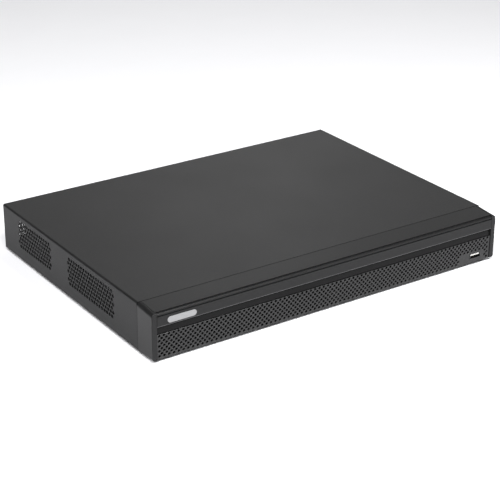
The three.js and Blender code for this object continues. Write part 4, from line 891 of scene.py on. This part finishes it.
def make_bayonet():
    back = -PANEL_THICKNESS - 0.3 * MM
    width = BNC_HIGH[0] - BNC_LOW[0]
    height = BNC_HIGH[2] - BNC_LOW[2]
    body = block_at("bnc_body", 0, 0, width, height, back - BNC_BODY_DEPTH, back)
    finished(body, black_plastic, 0.5 * MM, 3)
    profile = [(BNC_BARREL_R, 0)]
    y = 2.9 * MM
    for _ in range(THREAD_TURNS):
        profile += [(BNC_BARREL_R, y), (BNC_BARREL_R - 0.25 * MM, y + THREAD_PITCH / 2)]
        y += THREAD_PITCH
    end = BNC_REACH - back
    profile += [(BNC_BARREL_R, y), (BNC_BARREL_R, end - 0.5 * MM), (BNC_BARREL_R - 0.3 * MM, end)]
    barrel = turned("bnc_barrel", (0, back, 0), "Y", profile, 36)
    cut(barrel, turned("bore", (0, BNC_BORE_FLOOR, 0), "Y", straight(BNC_BORE_R, 12 * MM), 36))
    lug_y = BNC_REACH - 3.5 * MM
    for side in (-1, 1):
        start = (side * (BNC_BARREL_R - 0.4 * MM), lug_y, 0)
        lug = turned("lug", start, "X", in_mm((0.95, 0), (0.95, side * 1.2), (0.75, side * 1.4)), 16)
        fuse(barrel, lug)
    painted(smooth(barrel, 40), nickel)
    washer = turned("washer", (0, 0.15 * MM, 0), "Y", straight(6.0 * MM, 0.5 * MM), 32)
    nut = turned("nut", (0, 0.7 * MM, 0), "Y", in_mm((6.4, 0), (6.4, 1.5), (5.6, 1.9)), 6)
    rings = [finished(ring, nickel, 0.12 * MM) for ring in (washer, nut)]
    floor = (0, BNC_BORE_FLOOR, 0)
    sleeve = turned("sleeve", floor, "Y", in_mm((2.3, 0), (2.3, 4.4), (2.1, 4.6)), 24)
    contact = turned("contact", floor, "Y", in_mm((0.85, 0), (0.85, 5.3), (0.6, 5.6)), 16)
    painted(smooth(sleeve), white_plastic)
    painted(smooth(contact), gold)
    return gather("bayonet_pattern", body, barrel, *rings, sleeve, contact)


bayonet = make_bayonet()
for number in range(1, 9):
    place = middle_of(f"bnc_socket_{number}")
    twin = copy_of(bayonet, f"bayonet_socket_{number}", Matrix.Translation((place.x, REAR_FACE, place.z)))
    place_on(twin, "case", "nickel", f"bnc_socket_{number}")
print("faces of one bayonet socket:", len(bayonet.data.polygons))
bpy.data.objects.remove(bayonet)

# %% [markdown]
# ## Sound, monitor and network sockets
# The two sound sockets share one black body. Each has a plated ring round a coloured insulator, white
# for the input and red for the output. The monitor socket is a D-shaped shell round a blue insert with
# fifteen pin holes and a hex post at each side. The network socket is a plated box with eight gold
# contacts and two small lamps.

# %% Sound sockets
SOUND_LIFT = 6.5 * MM


def make_sound_sockets():
    low, high, at = seat_of("audio_jacks")
    reach = high[1] - REAR_FACE
    body = block("sound_body", low, (high[0], BEHIND_PANEL, high[2]))
    pieces = [finished(body, black_plastic, 0.5 * MM, 3)]
    for lift, colour in ((-SOUND_LIFT, signal_red), (SOUND_LIFT, white_plastic)):
        start = (at.x, PANEL_LOW[1] - 0.6 * MM, at.z + lift)
        length = high[1] - start[1]
        profile = [(4.1 * MM, 0), (4.1 * MM, length - 0.4 * MM), (3.9 * MM, length)]
        ring = turned("ring", start, "Y", profile, 36)
        bore_at = (at.x, REAR_FACE, at.z + lift)
        cut(ring, turned("bore", bore_at, "Y", straight(3.45 * MM, reach + MM), 36))
        profile = [(3.4 * MM, 0), (3.4 * MM, reach - 0.9 * MM), (3.1 * MM, reach - 0.6 * MM)]
        insert = turned("insert", bore_at, "Y", profile, 36)
        cut(insert, turned("hole", bore_at, "Y", straight(1.6 * MM, reach + MM), 20))
        pieces += [painted(smooth(ring), nickel), painted(smooth(insert), colour)]
    return gather("sound_sockets", *pieces)


place_on(make_sound_sockets(), "case", "black_plastic", "audio_jacks")

# %% Monitor socket
D_WIDTH = 17 * MM
D_HEIGHT = 8.4 * MM
D_TAPER = 1.6 * MM
D_CORNER = 1.4 * MM
POST_PITCH = 25 * MM
D_REACH = 6 * MM
PIN_PITCH_X = 2.29 * MM
PIN_PITCH_Z = 1.98 * MM


def d_block(name, at, inset, y0, y1):
    piece = block_at(name, at.x, at.z, D_WIDTH - 2 * inset, D_HEIGHT - 2 * inset, y0, y1)
    for side in (-1, 1):
        lower = lambda co: co.z < at.z and (co.x - at.x) * side > 0
        nudge(piece, lower, (-side * D_TAPER, 0, 0))
    bevel_where(piece, running("y", MM), D_CORNER, 4)
    return piece


def make_monitor_socket():
    low, high, at = seat_of("vga_port")
    end = REAR_FACE + D_REACH
    body = block("monitor_body", low, (high[0], BEHIND_PANEL, high[2]))
    finished(body, black_plastic, 0.4 * MM, 3)
    shell = d_block("shell", at, 0, PANEL_LOW[1] - 0.8 * MM, end)
    cut(shell, d_block("room", at, 0.55 * MM, REAR_FACE, end + MM))
    finished(shell, nickel, 0.12 * MM)
    insert = d_block("insert", at, 0.9 * MM, REAR_FACE - 0.4 * MM, end - 0.7 * MM)
    holes = []
    for row in range(3):
        for column in range(5):
            x = at.x + (column - 2 + (0.25 if row == 1 else -0.25)) * PIN_PITCH_X
            z = at.z + (row - 1) * PIN_PITCH_Z
            holes.append(turned("hole", (x, end - 4 * MM, z), "Y", straight(0.5 * MM, 5 * MM), 10))
    cut(insert, gather("holes", *holes))
    pieces = [body, shell, finished(insert, vga_blue, 0.08 * MM)]
    for side in (-1, 1):
        x = at.x + side * POST_PITCH / 2
        profile = [(2.55 * MM, 0), (2.55 * MM, 4.2 * MM), (2.2 * MM, 4.4 * MM)]
        post = turned("post", (x, REAR_FACE + 0.1 * MM, at.z), "Y", profile, 6)
        cut(post, turned("thread", (x, REAR_FACE + MM, at.z), "Y", straight(1.3 * MM, 5 * MM), 16))
        pieces.append(finished(post, nickel, 0.1 * MM))
        shank = turned("shank", (x, PANEL_LOW[1] - 0.8 * MM, at.z), "Y", straight(1.8 * MM, 2 * MM), 16)
        pieces.append(painted(smooth(shank), nickel))
    return gather("monitor_socket", *pieces)


place_on(make_monitor_socket(), "case", "nickel", "vga_port")

# %% Network socket
LAN_MOUTH_WIDTH = 11.8 * MM
LAN_MOUTH_HEIGHT = 8 * MM
LAN_CONTACTS = 8
LAN_CONTACT_PITCH = 1.02 * MM
LAN_MOUTH_RISE = 6.6 * MM  # from the socket's underside to the middle of its mouth


def make_network_socket():
    low, high, at = seat_of("lan_port")
    mouth = high[1]
    z = low[2] + LAN_MOUTH_RISE
    box = block("network_box", low, high)
    room = block_at("room", at.x, z, LAN_MOUTH_WIDTH, LAN_MOUTH_HEIGHT, mouth - 12 * MM, mouth + MM)
    catch_z = z - LAN_MOUTH_HEIGHT / 2
    catch = block_at("catch", at.x, catch_z, 5.6 * MM, 3 * MM, mouth - 8 * MM, mouth + MM)
    cut(box, room, catch)
    pieces = [finished(box, nickel, 0.35 * MM)]
    top = z + LAN_MOUTH_HEIGHT / 2
    for number in range(LAN_CONTACTS):
        x = at.x + (number - (LAN_CONTACTS - 1) / 2) * LAN_CONTACT_PITCH
        start = (x - 0.2 * MM, mouth - 9 * MM, top - 1.2 * MM)
        spring = block("spring", start, (x + 0.2 * MM, mouth - 2 * MM, top - 0.8 * MM))
        nudge(spring, lambda co: co.y < mouth - 8 * MM, (0, 0, -2.4 * MM))
        pieces.append(finished(spring, gold, 0.08 * MM))
    for side, colour in ((-1, lamp_green), (1, lamp_amber)):
        x = at.x + side * 5.4 * MM
        lamp = block_at("lamp", x, low[2] + 1.6 * MM, 2.6 * MM, 1.8 * MM, mouth - MM, mouth + 0.25 * MM)
        pieces.append(finished(lamp, colour, 0.3 * MM))
    return gather("network_socket", *pieces)


place_on(make_network_socket(), "case", "nickel", "lan_port")

# %% [markdown]
# ## Terminal strip
# The alarm wires go into a green plug that pulls straight out of its header. The plug has a wire mouth
# and a clamp screw for each of its eight poles. It rides on the body that slides, so it leaves the
# header when that joint moves.

# %% Terminal strip
POLES = 8
POLE_PITCH = 3.5 * MM
TERMINAL_WALL = 1 * MM
TERMINAL_ROOM = 8 * MM
CLAMP_FROM_FACE = 3.2 * MM


def make_header():
    low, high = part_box("terminal_header")
    wall = Vector((TERMINAL_WALL, 0, TERMINAL_WALL))
    header = block("terminal_shroud", low, high)
    room_low = Vector(low) + wall
    room_low.y = high[1] - TERMINAL_ROOM
    room_high = Vector(high) - wall
    room_high.y = high[1] + MM
    cut(header, block("room", room_low, room_high))
    return soften(header, 0.25 * MM)


def make_plug():
    low, high, at = seat_of("terminal_plug")
    half = (high[2] - low[2]) / 2
    plug = block("terminal_wire_plug", low, high)
    upper = lambda a, b: min(a.z, b.z) > high[2] - MM and min(a.y, b.y) > high[1] - MM
    bevel_where(plug, upper, 1.6 * MM, 2)
    mouths, screws = [], []
    for pole in range(POLES):
        x = at.x + (pole - (POLES - 1) / 2) * POLE_PITCH
        z = at.z - 0.8 * MM
        mouths.append(block_at("mouth", x, z, 2.3 * MM, 2.7 * MM, high[1] - 4 * MM, high[1] + MM))
        clamp_y = high[1] - CLAMP_FROM_FACE
        well = (x, clamp_y, at.z + half - 1.2 * MM)
        mouths.append(turned("well", well, "Z", straight(1.05 * MM, 3 * MM), 16))
        well = (x, clamp_y, at.z + half - 1.6 * MM)
        screw = turned("screw", well, "Z", in_mm((0.95, 0), (0.95, 1), (0.8, 1.15)), 16)
        slot_z = at.z + half - 0.5 * MM
        start = (x - 2 * MM, clamp_y - 0.15 * MM, slot_z)
        cut(screw, block("slot", start, (x + 2 * MM, clamp_y + 0.15 * MM, slot_z + MM)))
        screws.append(painted(smooth(screw), nickel))
    cut(plug, gather("mouths", *mouths))
    finished(plug, terminal_green, 0.15 * MM)
    return gather("terminal_wire_plug", plug, *screws)


place_on(painted(make_header(), terminal_green), "case", "terminal_green", "terminal_header")
place_on(make_plug(), "terminal", "terminal_green", "terminal_plug")

# %% [markdown]
# ## Power inlet and switch
# The inlet is a black block with a round mouth and a plated pin. The switch is a clipped-in housing
# with a rocker in it. The rocker's face is a shallow V, it rests tilted to its off side, and it turns on
# the rocker body's own hinge. A bar and a ring, the usual marks for on and off, are sunk into its face.

# %% Power inlet
def make_inlet():
    low, high, at = seat_of("dc_inlet")
    body = block("power_inlet", low, high)
    bevel_where(body, lambda a, b: abs(a.y - b.y) > 5 * MM and min(a.z, b.z) > at.z, 2.5 * MM, 6)
    mouth = (at.x, high[1] - 9 * MM, at.z)
    cut(body, turned("mouth", mouth, "Y", in_mm((3.2, 0), (3.2, 8.6), (3.6, 9.2)), 36))
    root = (at.x, high[1] - 9.5 * MM, at.z)
    pin = turned("pin", root, "Y", in_mm((1, 0), (1, 7.9), (0.6, 8.4)), 20)
    start = (at.x + 2.6 * MM, high[1] - 8.8 * MM, at.z - MM)
    spring = block("spring", start, (at.x + 3.4 * MM, high[1] - 2 * MM, at.z + MM))
    finished(body, black_plastic, 0.25 * MM)
    painted(smooth(pin), nickel)
    finished(spring, nickel, 0.1 * MM)
    return gather("power_inlet", body, pin, spring)


place_on(make_inlet(), "case", "black_plastic", "dc_inlet")

# %% Power switch
SWITCH_BODY_WIDTH = 9 * MM
SWITCH_BODY_HEIGHT = 14 * MM
SWITCH_WALL = 0.9 * MM
ROCKER_TILT = math.radians(8)
ROCKER_HEIGHT = 10 * MM
ROCKER_FRONT = 3.2 * MM  # from the hinge to the ends of the face
ROCKER_BACK = 2.4 * MM
ROCKER_FOLD = 1.4 * MM  # depth of the V
joints = frame["record"]["behaviour"]["joints"]
PIVOT = Vector(next(joint["pos_m"] for joint in joints if joint["name"] == "power_switch"))


def make_housing():
    low, high, at = seat_of("switch_housing")
    flange_y = REAR_FACE + 0.3 * MM
    depth = (low[1], high[1] - 0.2 * MM)
    housing = block_at("switch_body", at.x, at.z, SWITCH_BODY_WIDTH, SWITCH_BODY_HEIGHT, *depth)
    flange = block("flange", (low[0], flange_y, low[2]), high)
    bevel_where(flange, running("y", 0.5 * MM), 1.2 * MM, 5)
    fuse(housing, flange)
    width = SWITCH_BODY_WIDTH - 2 * SWITCH_WALL
    height = SWITCH_BODY_HEIGHT - 1.2 * MM
    cut(housing, block_at("well", at.x, at.z, width, height, PIVOT.y - 5 * MM, high[1] + MM))
    bearing = (at.x - SWITCH_BODY_WIDTH / 2, PIVOT.y, PIVOT.z)
    cut(housing, turned("bearing", bearing, "X", straight(1.1 * MM, SWITCH_BODY_WIDTH), 20))
    return soften(housing, 0.2 * MM)


def make_rocker():
    width = SWITCH_BODY_WIDTH - 2 * SWITCH_WALL - 0.6 * MM
    rocker = block_at("rocker_cap", 0, 0, width, ROCKER_HEIGHT, -ROCKER_BACK, ROCKER_FRONT)
    pick(rocker)
    bpy.ops.object.mode_set(mode="EDIT")
    bpy.ops.mesh.select_all(action="SELECT")
    bpy.ops.mesh.bisect(plane_co=(0, 0, 0), plane_no=(0, 0, 1))
    bpy.ops.object.mode_set(mode="OBJECT")
    nudge(rocker, lambda co: abs(co.z) < 0.1 * MM and co.y > 0, (0, -ROCKER_FOLD, 0))
    nudge(rocker, lambda co: abs(co.z) > 4 * MM and co.y < 0, (0, ROCKER_FOLD, 0))
    ends = lambda a, b: abs(a.x - b.x) > 4 * MM and abs(a.z) > 4 * MM and min(a.y, b.y) > 2 * MM
    bevel_where(rocker, ends, 0.8 * MM, 4)
    soften(rocker, 0.3 * MM, 3)
    mark = block("bar", (-0.25 * MM, 2.2 * MM, 2 * MM), (0.25 * MM, 4 * MM, 3.8 * MM))
    ring = turned("ring", (0, 2.2 * MM, -2.9 * MM), "Y", straight(0.95 * MM, 2 * MM), 24)
    cut(ring, turned("core", (0, 2 * MM, -2.9 * MM), "Y", straight(0.5 * MM, 3 * MM), 20))
    for piece in (mark, ring):
        nudge(piece, lambda co: co.y < 3 * MM, (0, 0.05 * MM, 0))
    cut(rocker, mark, ring)
    half = SWITCH_BODY_WIDTH / 2 - 0.2 * MM
    fuse(rocker, turned("trunnions", (-half, 0, 0), "X", straight(0.8 * MM, 2 * half), 20))
    rocker.data.transform(Matrix.Translation(PIVOT) @ Matrix.Rotation(-ROCKER_TILT, 4, "X"))
    return smooth(rocker)


place_on(painted(make_housing(), black_plastic), "case", "black_plastic", "switch_housing")
place_on(painted(make_rocker(), black_plastic), "rocker", "black_plastic", "power_rocker")

# %% [markdown]
# ## Screws and feet
# Every screw is one pan head with a cross recess. The head is turned in a few steps so that it is domed,
# and the recess is cut by two crossed wedges. One pattern is modelled at the origin and each screw is a
# scaled copy, turned a little so that no two crosses line up. The feet are soft rubber discs with a
# rounded lower edge and a dished middle.

# %% Screws
random.seed(11)
HEAD_GAP = 0.3 * MM  # between a head and what it holds
HEAD_PROFILE = (
    (0.42, -0.5), (0.42, 0), (1.0, 0.02), (1.0, 0.2), (0.93, 0.38), (0.75, 0.54), (0.45, 0.62),
)


def make_screw_pattern():
    head = turned("screw_pattern", (0, 0, 0), "Z", in_mm(*HEAD_PROFILE), 32)
    for turn_angle in (0, 90):
        blade = block("blade", (-0.6 * MM, -0.13 * MM, 0.16 * MM), (0.6 * MM, 0.13 * MM, 0.9 * MM))
        nudge(blade, lambda co: co.z < 0.3 * MM and co.x < 0, (0.3 * MM, 0, 0))
        nudge(blade, lambda co: co.z < 0.3 * MM and co.x > 0, (-0.3 * MM, 0, 0))
        blade.data.transform(Matrix.Rotation(math.radians(turn_angle), 4, "Z"))
        cut(head, blade)
    return soften(head, 0.015 * MM)


screw_pattern = make_screw_pattern()


def place_screw(name, node, radius, axis, base):
    """A pan head over a node, its underside at the base along the axis."""
    at = middle_of(node)
    at["XYZ".index(axis[-1])] = base
    spin = Matrix.Rotation(random.uniform(0, math.tau), 4, "Z")
    move = Matrix.Translation(at) @ AXIS_TURN[axis] @ spin @ Matrix.Scale(radius / MM, 4)
    twin = painted(copy_of(screw_pattern, name, move), nickel)
    return place_on(twin, "case", "nickel", node)


for number in (1, 2, 3):
    seat = COVER_HIGH[1] + HEAD_GAP
    place_screw(f"cover_machine_screw_{number}", f"cover_screw_{number}", 3.3 * MM, "Y", seat)
place_screw("earth_screw", "ground_screw", 3.6 * MM, "Y", REAR_FACE + HEAD_GAP)
for number in range(1, 5):
    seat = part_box("main_board")[1][2] + HEAD_GAP
    place_screw(f"board_machine_screw_{number}", f"board_screw_{number}", 2.6 * MM, "Z", seat)
    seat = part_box(f"drive_screw_{number}")[0][2] + 2 * MM
    place_screw(f"drive_machine_screw_{number}", f"drive_screw_{number}", 3.3 * MM, "-Z", seat)
print("screw faces:", len(screw_pattern.data.polygons))
bpy.data.objects.remove(screw_pattern)

# %% Feet
def make_foot(number):
    low, high, at = seat_of(f"foot_{number}")
    radius = (high[0] - low[0]) / 2
    height = high[2] - low[2]
    profile = [
        (radius * 0.98, 0), (radius, height * 0.3), (radius, height * 0.75),
        (radius - 0.4 * MM, height * 0.92), (radius - 1.1 * MM, height),
        (radius * 0.6, height), (radius * 0.5, height - 0.5 * MM),
    ]
    foot = turned(f"rubber_foot_{number}", (at.x, at.y, high[2]), "-Z", profile, 40)
    return place_on(painted(smooth(foot, 50), foot_rubber), "case", "foot_rubber", f"foot_{number}")


for number in range(1, 5):
    make_foot(number)

# %% [markdown]
# ## Pieces that keep their shape
# Folded sheets, castings and leads already have the right outline in the frame. Their meshes are copied,
# the coplanar triangles are dissolved back into flat faces, and a small bevel softens every edge, so
# that each edge catches a line of light. The copy then stands for the piece it came from.


# %% Soft copies
def soft_copy(node, name, width, material, slot):
    source = frame["nodes"][node]
    pick(source)
    bpy.ops.object.duplicate(linked=False)
    piece = settle(bpy.context.object, name)
    bpy.ops.object.mode_set(mode="EDIT")
    bpy.ops.mesh.select_all(action="SELECT")
    bpy.ops.mesh.remove_doubles(threshold=0.002 * MM)
    bpy.ops.mesh.dissolve_limited(angle_limit=math.radians(1.5))
    bpy.ops.object.mode_set(mode="OBJECT")
    finished(piece, material, width * MM)
    return place_on(piece, "case", slot, node)


SOFT_COPIES = (  # node, name, bevel in millimetres, material, slot
    ("base_tray", "folded_tray", 0.25, powder_coat, "dark_paint"),
    ("rear_panel", "rear_plate", 0.25, powder_coat, "dark_paint"),
    ("heat_sink", "finned_sink", 0.2, die_cast, "cast_aluminium"),
    ("drive_body", "drive_casting", 0.6, die_cast, "cast_aluminium"),
    ("fan_frame", "fan_housing", 0.3, black_plastic, "black_plastic"),
    ("light_pipe", "moulded_light_pipe", 0.25, clear_plastic, "clear_pipe"),
    ("front_ribbon", "flat_ribbon", 0.15, ribbon_grey, "ribbon_grey"),
    ("fan_screw_1", "fan_set_screw_1", 0.15, nickel, "nickel"),
    ("fan_screw_2", "fan_set_screw_2", 0.15, nickel, "nickel"),
    ("sata_data_cable", "drive_data_lead", 0.2, signal_red, "lead_red"),
    ("sata_power_cable", "drive_power_lead", 0.2, lead_black, "lead_black"),
    ("fan_lead", "fan_wire", 0.2, lead_black, "lead_black"),
    ("switch_lead", "switch_wire", 0.2, signal_red, "lead_red"),
)
for soft in SOFT_COPIES:
    soft_copy(*soft)

# %% [markdown]
# ## The fan
# The rotor is a turned cup with a rounded rim, and seven blades. Each blade starts as a flat grid. Its
# rows are turned further the further they are from the hub and are bent along their chord, so the blade
# is twisted and hollow on one side. A Solidify modifier gives it its thickness.

# %% Fan rotor
ROTOR_LOW, ROTOR_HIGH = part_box("fan_rotor")
ROTOR_AT = middle_of("fan_rotor")
ROTOR_LENGTH = ROTOR_HIGH[0] - ROTOR_LOW[0]
ROTOR_R = (ROTOR_HIGH[2] - ROTOR_LOW[2]) / 2 - 0.3 * MM
ROTOR_HUB_R = 9.5 * MM
ROTOR_BLADES = 7
BLADE_PITCH = (math.radians(52), math.radians(34))  # from the fan's axis, at the hub and at the tip


def make_blade(number):
    bpy.ops.mesh.primitive_grid_add(x_subdivisions=8, y_subdivisions=10, size=1)
    blade = bpy.context.object
    for corner in blade.data.vertices:
        chord = corner.co.x
        share = corner.co.y + 0.5
        radius = ROTOR_HUB_R - 0.5 * MM + share * (ROTOR_R - ROTOR_HUB_R + 0.5 * MM)
        pitch = BLADE_PITCH[0] + share * (BLADE_PITCH[1] - BLADE_PITCH[0])
        width = (6.4 + 1.2 * share) * MM
        hollow = (0.25 - chord * chord) * 1.8 * MM
        along = chord * width * math.cos(pitch) - hollow * math.sin(pitch)
        across = chord * width * math.sin(pitch) + hollow * math.cos(pitch)
        angle = across / radius + number / ROTOR_BLADES * math.tau
        corner.co = (along, radius * math.sin(angle), radius * math.cos(angle))
    apply_modifier(blade, "SOLIDIFY", thickness=0.8 * MM, offset=0)
    return smooth(blade, 50)


def make_rotor():
    half = ROTOR_LENGTH / 2
    profile = [
        (ROTOR_HUB_R - 0.8 * MM, -half), (ROTOR_HUB_R - 0.2 * MM, -half + 0.2 * MM),
        (ROTOR_HUB_R, -half + 0.9 * MM), (ROTOR_HUB_R, half),
    ]
    hub = turned("fan_wheel", (0, 0, 0), "X", profile, 48)
    cut(hub, turned("cup", (-half + 1.5 * MM, 0, 0), "X", straight(1.5 * MM, ROTOR_LENGTH), 20))
    wheel = gather("fan_wheel", smooth(hub, 40), *[make_blade(number) for number in range(ROTOR_BLADES)])
    wheel.data.transform(Matrix.Translation(ROTOR_AT))
    return painted(wheel, black_plastic)


place_on(make_rotor(), "fan", "black_plastic", "fan_rotor")

# %% [markdown]
# ## The boards
# The main board carries rows of small parts: chips with a moulded edge, wound cans and tiny plated
# resistors. They are put down from a seeded draw, on a coarse lattice, and a place is skipped if a
# larger piece of the frame stands there. Both boards are cut to their outline with rounded corners.

# %% Main board
BOARD_LOW, BOARD_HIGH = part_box("main_board")
BOARD_TOP = BOARD_HIGH[2]
KEEP_CLEAR = 1.5 * MM
PART_PITCH = 9 * MM
PART_HALF = 3.2 * MM
EDGE_MARGIN = 5 * MM
CHIP_CHANCE = 0.2
CAN_CHANCE = 0.32  # a chip's chance and a can's together


def standing_on_board():
    taken = []
    for name, node in frame["nodes"].items():
        low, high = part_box(name)
        if name in ("main_board", "base_tray", "top_cover") or low[2] > BOARD_TOP + 3 * MM:
            continue
        if high[2] > BOARD_TOP and low[0] < BOARD_HIGH[0] and high[0] > BOARD_LOW[0]:
            if low[1] < BOARD_HIGH[1] and high[1] > BOARD_LOW[1]:
                taken.append((low[0], low[1], high[0], high[1]))
    return taken


def is_free(taken, x, y):
    reach = PART_HALF + KEEP_CLEAR
    return all(
        x + reach < box[0] or x - reach > box[2] or y + reach < box[1] or y - reach > box[3]
        for box in taken
    )


def chip_at(x, y, half_x, half_y, height):
    top = BOARD_TOP + height
    chip = block("chip", (x - half_x, y - half_y, BOARD_TOP), (x + half_x, y + half_y, top))
    legs = block(
        "legs", (x - half_x - 0.6 * MM, y - half_y + 0.4 * MM, BOARD_TOP),
        (x + half_x + 0.6 * MM, y + half_y - 0.4 * MM, BOARD_TOP + 0.3 * MM))
    return [finished(chip, black_plastic, 0.15 * MM), finished(legs, nickel, 0.05 * MM)]


def can_at(x, y, radius, height):
    profile = [
        (radius, 0), (radius, height * 0.12), (radius * 0.93, height * 0.16), (radius, height * 0.2),
        (radius, height - 0.3 * MM), (radius - 0.3 * MM, height),
    ]
    return [painted(smooth(turned("can", (x, y, BOARD_TOP), "Z", profile, 20), 30), pressed_steel)]


def resistor_at(x, y):
    low = (x - 0.8 * MM, y - 0.45 * MM, BOARD_TOP)
    body = block("resistor", low, (x + 0.8 * MM, y + 0.45 * MM, BOARD_TOP + 0.45 * MM))
    ends = block(
        "resistor_ends", (x - MM, y - 0.4 * MM, BOARD_TOP), (x + MM, y + 0.4 * MM, BOARD_TOP + 0.4 * MM))
    return [painted(body, black_plastic), painted(ends, nickel)]


def populate_board():
    random.seed(23)
    taken = standing_on_board()
    parts = []
    columns = int((BOARD_HIGH[0] - BOARD_LOW[0]) / PART_PITCH)
    rows = int((BOARD_HIGH[1] - BOARD_LOW[1]) / PART_PITCH)
    for column in range(columns):
        for row in range(rows):
            x = BOARD_LOW[0] + (column + 0.5) * PART_PITCH + random.uniform(-1, 1) * MM
            y = BOARD_LOW[1] + (row + 0.5) * PART_PITCH + random.uniform(-1, 1) * MM
            kind = random.random()
            past_edge = x + EDGE_MARGIN > BOARD_HIGH[0] or y + EDGE_MARGIN > BOARD_HIGH[1]
            if past_edge or not is_free(taken, x, y):
                continue
            if kind < CHIP_CHANCE:
                parts += chip_at(x, y, 2.5 * MM, 3 * MM, 1.4 * MM)
            elif kind < CAN_CHANCE:
                parts += can_at(x, y, 2.6 * MM, 6.5 * MM)
            else:
                for step in (-2, 0, 2):
                    parts += resistor_at(x, y + step * MM)
    return parts


def make_main_board():
    plate = block("populated_board", BOARD_LOW, BOARD_HIGH)
    bevel_where(plate, running("z", MM), 2 * MM, 4)
    holes = []
    for number in range(1, 5):
        at = middle_of(f"board_screw_{number}")
        start = (at.x, at.y, BOARD_LOW[2] - MM)
        holes.append(turned("hole", start, "Z", straight(1.8 * MM, 4 * MM), 20))
    cut(plate, gather("holes", *holes))
    finished(plate, solder_mask, 0.1 * MM)
    return gather("populated_board", plate, *populate_board())


main_board = make_main_board()
place_on(main_board, "case", "board", "main_board")
print("main board faces:", len(main_board.data.polygons))

# %% Front board, processor and cell
front_low, front_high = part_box("front_board")
front_board = block("indicator_board", front_low, front_high)
bevel_where(front_board, running("y", MM), 1.5 * MM, 4)
place_on(finished(front_board, solder_mask, 0.1 * MM), "case", "board", "front_board")

chip_low, chip_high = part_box("processor")
processor = block("main_chip", chip_low, chip_high)
bevel_where(processor, running("z", MM), 0.8 * MM, 3)
place_on(finished(processor, black_plastic, 0.2 * MM), "case", "black_plastic", "processor")

cell_low, cell_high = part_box("coin_cell")
cell_at = middle_of("coin_cell")
cell_r = (cell_high[0] - cell_low[0]) / 2
cell_height = cell_high[2] - cell_low[2]
cell_profile = [
    (cell_r - 0.2 * MM, 0), (cell_r, 0.3 * MM), (cell_r, cell_height - 0.6 * MM),
    (cell_r - 0.5 * MM, cell_height - 0.1 * MM), (cell_r - 1.2 * MM, cell_height),
]
cell = turned("round_cell", (cell_at.x, cell_at.y, cell_low[2]), "Z", cell_profile, 48)
place_on(painted(smooth(cell, 40), pressed_steel), "case", "nickel", "coin_cell")

# %% Drive lid
lid_low, lid_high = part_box("drive_lid")
lid_at = middle_of("drive_lid")
lid = block("drive_top_lid", lid_low, lid_high)
bevel_where(lid, running("z", MM), 5 * MM, 6)
recess_low = (lid_low[0] + 9 * MM, lid_low[1] + 12 * MM, lid_high[2] - 0.8 * MM)
recess = block("recess", recess_low, (lid_high[0] - 9 * MM, lid_high[1] - 30 * MM, lid_high[2] + MM))
bevel_where(recess, running("z", MM), 9 * MM, 8)
spindle_at = (lid_at.x, lid_low[1] + 55 * MM, lid_high[2] - 1.2 * MM)
spindle = turned("spindle", spindle_at, "Z", straight(14 * MM, 2 * MM), 48)
cut(lid, recess, spindle)
place_on(finished(lid, pressed_steel, 0.4 * MM), "case", "drive_lid_steel", "drive_lid")
